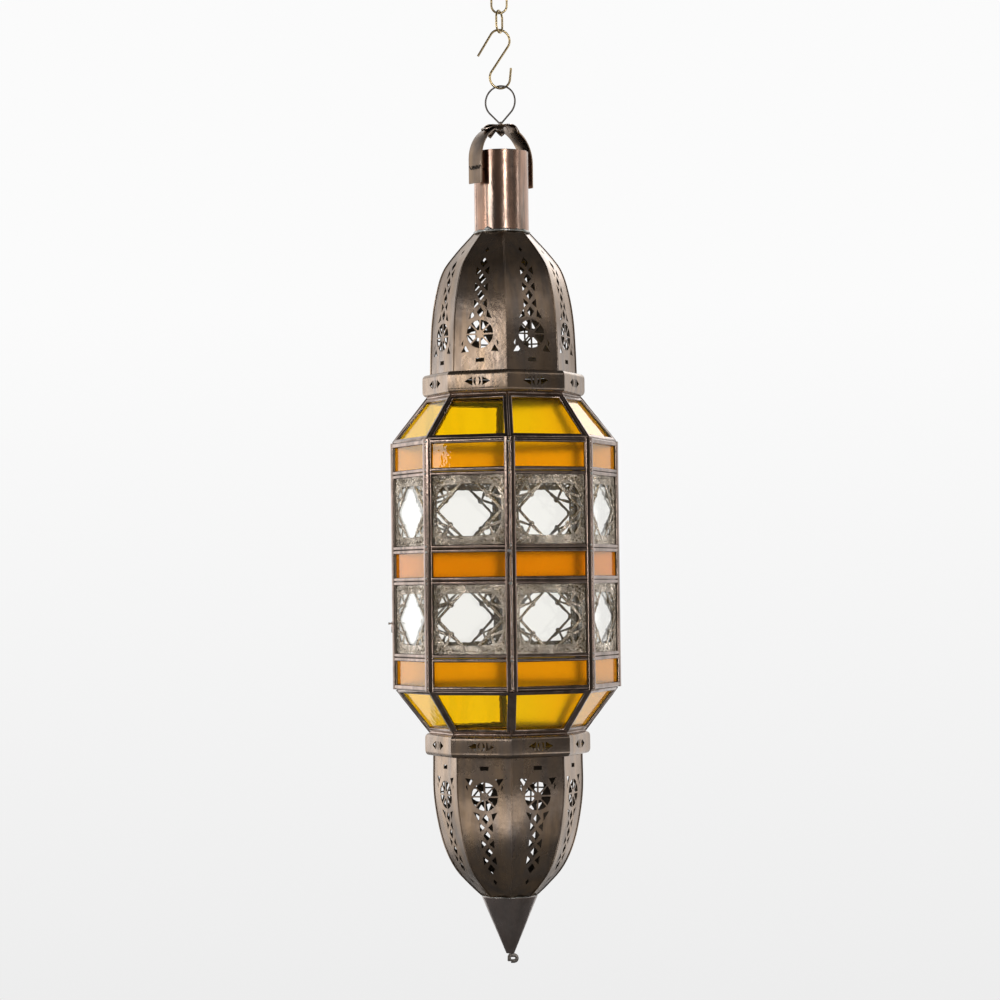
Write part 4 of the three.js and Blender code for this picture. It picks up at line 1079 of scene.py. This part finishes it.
# Glass. Flat panes cut by hand and held behind the came: yellow on the slopes, orange in the
# three narrow rows, the middle one deeper, and clear behind the pierced sheets.
def glass(name, colour, hammered, shade=0.95, graded=None):
    """Coloured window glass, smooth outside and hammered inside; some grades to a second colour on one side."""
    finish, tree, shader = new_finish(name)
    shader.inputs["Transmission Weight"].default_value = 1.0
    shader.inputs["IOR"].default_value = 1.5
    marks = add_node(tree, "ShaderNodeGroup", node_tree=marks_group, Size=1.0).outputs
    inside = add_node(tree, "ShaderNodeAttribute", attribute_name="inside").outputs["Fac"]
    tint = mix_colours(tree, marks["Tarnish"], colour, tuple(part * shade for part in colour))
    if graded:
        place = add_node(tree, "ShaderNodeTexCoord").outputs["Object"]
        across = add_node(tree, "ShaderNodeSeparateXYZ", Vector=place).outputs["X"]
        inside = reckon(tree, "MULTIPLY", stretched(tree, across, 0.0, 0.004), inside)
        tint = mix_colours(tree, stretched(tree, across, 0.02, 0.1), tint, graded)
    fill(tree, shader.inputs["Base Color"], tint)
    fill(tree, shader.inputs["Roughness"], reckon(tree, "MULTIPLY_ADD", inside, hammered, 0.004))
    bump = add_node(tree, "ShaderNodeBump", Strength=0.014, Distance=0.001, Height=marks["Dents"])
    fill(tree, shader.inputs["Normal"], bump.outputs[0])
    return finish


glasses = {
    "yellow": glass("yellow_glass", (1.0, 0.75, 0.006), 0.16, 1.0, graded=(1.0, 0.62, 0.01)),
    "amber": glass("amber_glass", (0.97, 0.58, 0.02), 0.2),
    "orange": glass("orange_glass", (0.94, 0.5, 0.012), 0.2),
    "clear": glass("clear_glass", (1.0, 0.995, 0.97), 0.0, 1.0),
}
glass_thickness, glass_lap, sheet_thickness, seat = 2.0, 2.2, 0.6, 0.3
for name, (radii, levels) in slopes.items():
    panes = slope_ring(radii, levels, rim=slope_rim - glass_lap, front_depth=slope_depth + seat,
                       depth=glass_thickness, pane=True)
    hang(f"{name}_panes", panes, glasses["yellow"], "lantern", [f"{name}_glass"], hollow=True)

row_kinds = {"upper_amber": "amber", "upper_clear": "clear", "middle_orange": "orange",
             "lower_clear": "clear", "lower_amber": "amber"}


def give_wall(bm, wall):
    """Gives a sheet its thickness, straight back from its front."""
    back = bmesh.ops.extrude_face_region(bm, geom=bm.faces[:])["geom"]
    bmesh.ops.translate(bm, verts=verts_in(back), vec=(0, wall, 0))
    bmesh.ops.recalc_face_normals(bm, faces=bm.faces)


def row_pane(row):
    """One pane of a row, drawn at -Y with ground edges."""
    low, high = rows[row]
    front = body_front + came_depth + seat
    if row % 2:
        front += sheet_thickness + seat
    across, foot, top = open_half + glass_lap, low - glass_lap, high + glass_lap
    bm = bmesh.new()
    corners = ((-across, foot), (across, foot), (across, top), (-across, top))
    bm.faces.new([bm.verts.new((x, front, z)) for x, z in corners])
    give_wall(bm, glass_thickness)
    break_edges(bm, 0.2, 1)
    return bm


for row, (name, kind) in enumerate(row_kinds.items()):
    hang(f"panes_{name}", all_round(row_pane(row), fixed_faces), glasses[kind], "lantern",
         [f"{name}_panes"], hollow=True)
    hang(f"door_pane_{name}", all_round(row_pane(row), [door_face]), glasses[kind], "door",
         [f"door_{name}_pane"], hollow=True)

# Pierced window sheets. Thin embossed sheet in front of each clear pane: a diamond with a knob in the
# middle of each side, two struts from each knob to a ring, and scrolled leaves in the corners.
window_height = row_heights[1]
opening_rise, diamond_span, diamond_reach, wing_reach, ring_radius = 25.3, 32, 30.5, 33.5, 35.3
lattice_bar, strut_width = 2.6, 1.9
knob_half, knob_rise = 2.3, 1.5
quarters = ((1, 1), (1, -1), (-1, -1), (-1, 1))
bar_edge = diamond_span + lattice_bar * math.sqrt(2)
side_middle = Vector((
    (diamond_span - opening_rise + diamond_reach) / 2,
    (diamond_span - diamond_reach + opening_rise) / 2,
))
outward = Vector((1, 1)).normalized()
along_side = Vector((1, -1)).normalized()
knob_middle = side_middle + outward * lattice_bar / 2


def diamond_quarter():
    """A quarter of the diamond from above to the side, with the knob in the middle of its bar."""
    loop = [Vector((diamond_span - opening_rise, opening_rise))]
    for step in range(7):
        angle = step * math.pi / 6
        loop.append(side_middle - along_side * knob_half * math.cos(angle) - outward * knob_rise * math.sin(angle))
    return loop + [Vector((diamond_reach, diamond_span - diamond_reach))]

def wing_holes():
    """The three openings beyond one bar of the diamond, parted by two struts from its knob to the ring."""
    half = strut_width / 2
    knob = knob_middle + outward * (lattice_bar / 2 + half * 0.7)
    high = Vector((math.sqrt(ring_radius ** 2 - opening_rise ** 2), opening_rise))
    wide = Vector((wing_reach, math.sqrt(ring_radius ** 2 - wing_reach ** 2)))
    to_high, to_wide = (high - knob).normalized(), (wide - knob).normalized()
    left = Vector((-to_high.y, to_high.x)) * half
    above = Vector((-to_wide.y, to_wide.x)) * half
    start, end = math.atan2(wide.y, wide.x), math.atan2(high.y, high.x)
    angles = [start + part * (end - start) for part in (0.15, 0.38, 0.62, 0.85)]
    arc = [Vector((math.cos(angle), math.sin(angle))) * ring_radius for angle in angles]
    inner = Vector((bar_edge - opening_rise, opening_rise - 0.5))
    return [
        [inner, Vector((high.x - half - 0.4, opening_rise - 0.8)), knob + to_high * 0.9 + left],
        [knob + to_high * strut_width - left, knob + to_wide * strut_width + above, *arc],
        [knob + to_wide * 0.9 - above, Vector((wing_reach - 0.4, wide.y - half)),
         Vector((wing_reach - 0.2, bar_edge - wing_reach))],
    ]


def window_holes():
    """The openings of one sheet, round its middle."""
    middle_loop, holes = [], []
    for number, (x_side, z_side) in enumerate(quarters):
        loop = diamond_quarter()
        if number % 2:
            loop.reverse()
        middle_loop += [(x_side * point.x, z_side * point.y) for point in loop]
        for hole in wing_holes():
            holes.append([(x_side * point.x, z_side * point.y) for point in hole])
    return [middle_loop] + holes


# Middle, length and bearing of each small leaf-shaped cut in one corner.
corner_cuts = (
    (31.2, 28.6, 2.2, 20), (34.2, 22.6, 1.7, 75), (28.4, 30.6, 1.5, 150), (35, 17, 1.5, 95),
    (24.2, 30, 1.6, -10), (34.6, 31, 1.3, 45), (17, 29.6, 1.5, 12), (26.5, 27.2, 1.0, 40),
    (28.6, 25.6, 1.1, 50), (31.4, 24.4, 1.2, 100), (32, 19.6, 0.9, 70), (36, 26.6, 1.0, 90),
    (36.1, 20, 0.9, 80), (20.6, 31.6, 1.0, 0), (13.4, 30.9, 1.0, 20), (8.6, 31, 1.0, 5),
    (3.2, 30.6, 1.0, 0), (35.6, 12.4, 0.9, 90), (35.5, 8.6, 0.9, 85), (35.5, 3.6, 0.9, 95),
)


def corner_holes():
    """The small cuts in the four corners, outside the ring, no two of them quite alike."""
    holes = []
    for x_side, z_side in quarters:
        for x, z, length, bearing in corner_cuts:
            angle = math.radians(bearing + random.uniform(-15, 15))
            along = Vector((math.cos(angle), math.sin(angle))) * length
            aside = Vector((-along.y, along.x)) * 0.42
            middle = Vector((x, z))
            loop = [middle + along, middle + aside, middle - along * 0.8, middle - aside]
            holes.append([(x_side * point.x, z_side * point.y) for point in loop])
    return holes


# Curls of the embossed leaves in one corner: centre, radius, first and last angle.
scrolls = (
    (31.5, 27.6, 3.6, -60, 230), (31.5, 27.6, 1.6, 60, 330), (35.2, 19.6, 2.2, -150, 120),
    (23.8, 29.8, 2.4, -30, 240), (17, 30, 1.9, -20, 200), (35.6, 12.4, 1.7, -90, 200),
    (10.5, 30, 1.7, -20, 200), (4, 29.6, 1.6, 0, 220), (36, 5, 1.5, -90, 170),
)


def ridge(distance, width):
    """A soft ridge across a line."""
    return math.exp(-(distance / width) ** 2)


def relief(x, z):
    """Height of the embossing over the sheet at a place measured from its middle."""
    across, up = abs(x), abs(z)
    radius = math.hypot(x, z)
    height = 0.7 * ridge(radius - ring_radius - 1.1, 0.8) if min(across - 22, up - 6) > 0 else 0
    bar = (across + up - diamond_span) / math.sqrt(2)
    height = max(height, 0.75 * ridge(bar - lattice_bar / 2, 1.0))
    for centre_x, centre_z, curl, first, last in scrolls:
        dx, dz = across - centre_x, up - centre_z
        if (math.degrees(math.atan2(dz, dx)) - first) % 360 <= last - first:
            height = max(height, 1.0 * ridge(math.hypot(dx, dz) - curl, 0.6))
    if radius > ring_radius or up > opening_rise:
        height = max(height, 0.35 + 0.5 * math.sin(1.1 * across + 1.6 * up) * math.sin(1.7 * across - 1.1 * up))
    border = min(open_half - across, window_height / 2 - up)
    height = max(height, 0.7 * ridge(border - 1.4, 0.6))
    knob = math.hypot(across - knob_middle.x, up - knob_middle.y)
    return max(height, 1.5 * ridge(knob, 1.5))


score_pitch, hammering = 1.3, 0.22


def window_sheet():
    """One sheet round its middle, with its front at y = 0."""
    reach_x, reach_z = open_half + glass_lap, window_height / 2 + glass_lap
    outline = [(-reach_x, -reach_z), (reach_x, -reach_z), (reach_x, reach_z), (-reach_x, reach_z)]
    upright = [score_pitch * (number - 0.5) for number in range(-27, 29)]
    across = [score_pitch * (number - 0.5) for number in range(-30, 32)]
    bm = cut_sheet(outline, window_holes() + corner_holes(), upright, across)
    for vert in bm.verts:
        height = 0.0 if vert.is_boundary else relief(vert.co.x, vert.co.z) + random.uniform(-hammering, hammering)
        vert.co.y = -height
    give_wall(bm, sheet_thickness)
    return bm


pierced_bronze = metal("pierced_bronze", (0.97, 0.88, 0.76), (0.36, 0.3, 0.23), (0.7, 0.58, 0.45),
                       rough=(0.04, 0.14), size=2.0, streak=0.3, dent=0.8, grain=0.1, chased=1.6, relief=1.0)
for row, side in ((1, "upper"), (3, "lower")):
    shift = (0, body_front + came_depth + seat, sum(rows[row]) / 2)
    for number, face in enumerate(fixed_faces, start=1):
        hang(f"filigree_{side}_{number}", on_face(window_sheet(), face, shift), pierced_bronze, "lantern",
             [f"window_sheet_{side}_{number}"], 60, True)
    hang(f"door_filigree_{side}", on_face(window_sheet(), door_face, shift), pierced_bronze, "door",
         [f"door_sheet_{side}"], 60, True)

# Door hinge pins. Pieces of dark wire in the knuckles, with both ends hammered over.
# The door turns on them, and they stay with the frame.
for name, foot in zip(("upper", "lower"), hinge_feet):
    low, high = foot - play, foot + 2 * knuckle + 2 * play
    hinge_pin = turned([
        (0, low - 1.5), (0.9, low - 1.5), (1.5, low - 1.1), (1.5, low - 0.15), (1.35, low), (0.8, low),
        (0.8, high), (1.35, high), (1.5, high + 0.15), (1.5, high + 1.1), (0.9, high + 1.5), (0, high + 1.5),
    ], 16)
    hang(f"wire_hinge_pin_{name}", on_face(hinge_pin, door_face, (-hinge_x, hinge_y, 0)), dark_wire, "lantern",
         [f"door_hinge_pin_{name}"])

# Door latch. A small hook cut from bronze sheet, loose on a rivet of the door;
# it turns up and over and drops on the stud of the next face.
latch_half, latch_arm, latch_plate, latch_hole, latch_corner = 2.2, 7.2, 0.8, 1.1, 0.9


def arc_points(radius, first, last, steps):
    """Points on a round of the latch, by bearings in degrees."""
    angles = [math.radians(first + (last - first) * step / steps) for step in range(steps + 1)]
    return [(radius * math.cos(angle), radius * math.sin(angle)) for angle in angles]


foot_level = -latch_arm - latch_half
latch_outline = arc_points(latch_half, 0, 180, 8) + [(-latch_half, -latch_arm + 2.2)]
latch_outline += [(x, z - latch_arm) for x, z in arc_points(latch_hole, 90, -90, 6)]
latch_outline += [
    (-latch_half, -latch_arm - latch_hole),
    (-latch_half, foot_level + latch_corner), (-latch_half + latch_corner, foot_level),
    (latch_half - latch_corner, foot_level), (latch_half, foot_level + latch_corner),
]
latch = cut_sheet(latch_outline, [arc_points(latch_hole, 0, 330, 11)], ())
give_wall(latch, latch_plate)
break_edges(latch, 0.12, 1)
latch = on_face(latch, door_face, (latch_x, body_front - play - latch_plate, latch_level))
hang("latch_hook", latch, came_bronze, "latch", ["door_latch"])

# Candle plate. An eight-sided tray of sheet lying loose on the lip of the lower collar, with a low cup
# for the candle soldered to its middle.
plate_foot, plate_top = level_of("candle_plate")
plate_radius, plate_corner = 72, 0.4
plate = turned([
    (0, plate_foot), (plate_radius - plate_corner, plate_foot), (plate_radius, plate_foot + plate_corner),
    (plate_radius, plate_top - plate_corner), (plate_radius - plate_corner, plate_top),
    (plate_radius - 6, plate_top), (plate_radius - 6.6, plate_top - 0.3), (plate_radius - 7.4, plate_top - 0.3),
    (plate_radius - 8, plate_top), (0, plate_top),
], FACES)
hang("candle_tray", plate, bronze, "lantern", ["candle_plate"])
cup_radius, cup_wall = 21, 1
cup_foot, cup_top = level_of("candle_cup")
cup = turned([
    (0, cup_foot), (cup_radius - 0.4, cup_foot), (cup_radius, cup_foot + 0.4), (cup_radius, cup_top - 0.5),
    (cup_radius - 0.15, cup_top - 0.15), (cup_radius - 0.5, cup_top), (cup_radius - 0.85, cup_top - 0.15),
    (cup_radius - cup_wall, cup_top - 0.5), (cup_radius - cup_wall, cup_foot + 1.6),
    (cup_radius - cup_wall - 0.6, cup_foot + cup_wall), (0, cup_foot + cup_wall),
], 48)
hang("candle_ring", cup, bronze, "lantern", ["candle_cup"])

# Finial. A cone rolled from sheet with a lapped seam, its lip turned in under the point of the lower dome
# and run round with solder.
cone_foot, cone_top = level_of("finial_cone")
cone_radius, cone_tip, cone_lip, cone_wall, cone_lap = 28, 4.2, 4, 1, 60
cone = turned([
    (0, cone_foot), (cone_tip - 0.4, cone_foot), (cone_tip, cone_foot + 0.4), (cone_radius - 0.1, cone_top - 0.6),
    (cone_radius - 0.3, cone_top - 0.1), (cone_radius - 0.7, cone_top), (cone_radius - cone_lip, cone_top),
    (cone_radius - cone_lip, cone_top - cone_wall), (cone_radius - 1.9, cone_top - cone_wall),
    (cone_tip - 0.2, cone_foot + 2), (0, cone_foot + 2),
], 72)
cone_slant = Vector((cone_radius - cone_tip, cone_top - cone_foot))
cone_seam = bmesh.new()
lap = flat_bar(cone_seam, 0.3, 3, (0, 0, 1))
bend(cone_seam, lap, [Vector((0, 0, cone_slant.length - 3))])
lap_place = (
    Matrix.Rotation(math.radians(cone_lap), 4, "Z")
    @ Matrix.Translation((cone_tip, 0, cone_foot))
    @ Matrix.Rotation(math.atan2(cone_slant.x, cone_slant.y), 4, "Y")
)
add_to(cone, cone_seam, lap_place)
cone_bronze = metal("cone_bronze", (0.5, 0.43, 0.4), (0.2, 0.17, 0.155), (0.42, 0.32, 0.28),
                    rough=(0.24, 0.4), size=1.2, streak=0.4, dent=0.5)
hang("finial", cone, cone_bronze, "lantern", ["finial_cone"])

cone_solder = solder_ring(0.55, cone_radius - 0.6, cone_top + 0.1, 8)
for vert in cone_solder.verts:
    vert.co.z += swell(vert, (0.2, 9, 0), (0.15, 23, 0))
bmesh.ops.recalc_face_normals(cone_solder, faces=cone_solder.faces)
hang("cone_solder", cone_solder, solder, "lantern", [], 60)

# Eye. A strip of dark metal bent back on itself to a D, with its edges filed round.
# It is soldered to the tip of the cone.
eye_strip, eye_width, eye_bend, eye_run, eye_corner = 3.4, 5.0, 2.9, 3.6, 1.9
eye_left, eye_rise, eye_foot = -1.1, 5.8, -7.6
eye = bmesh.new()
strip = flat_bar(eye, eye_strip, eye_width, (eye_left, 0, eye_foot))
bend(eye, strip, [
    Vector((0, 0, eye_rise - eye_corner)),
    (Vector((eye_left + eye_corner, 0, eye_rise + eye_foot - eye_corner)), AWAY, -math.pi / 2),
    Vector((eye_run - eye_left - eye_corner, 0, 0)),
    (Vector((eye_run, 0, eye_rise + eye_foot - eye_bend)), AWAY, -math.pi),
    Vector((eye_left + 1.6 - eye_run, 0, 0)),
])
break_edges(eye, 0.5)
lift(eye, level_of("finial_knob")[1])
hang("finial_eye", eye, dark_wire, "lantern", ["finial_knob"])
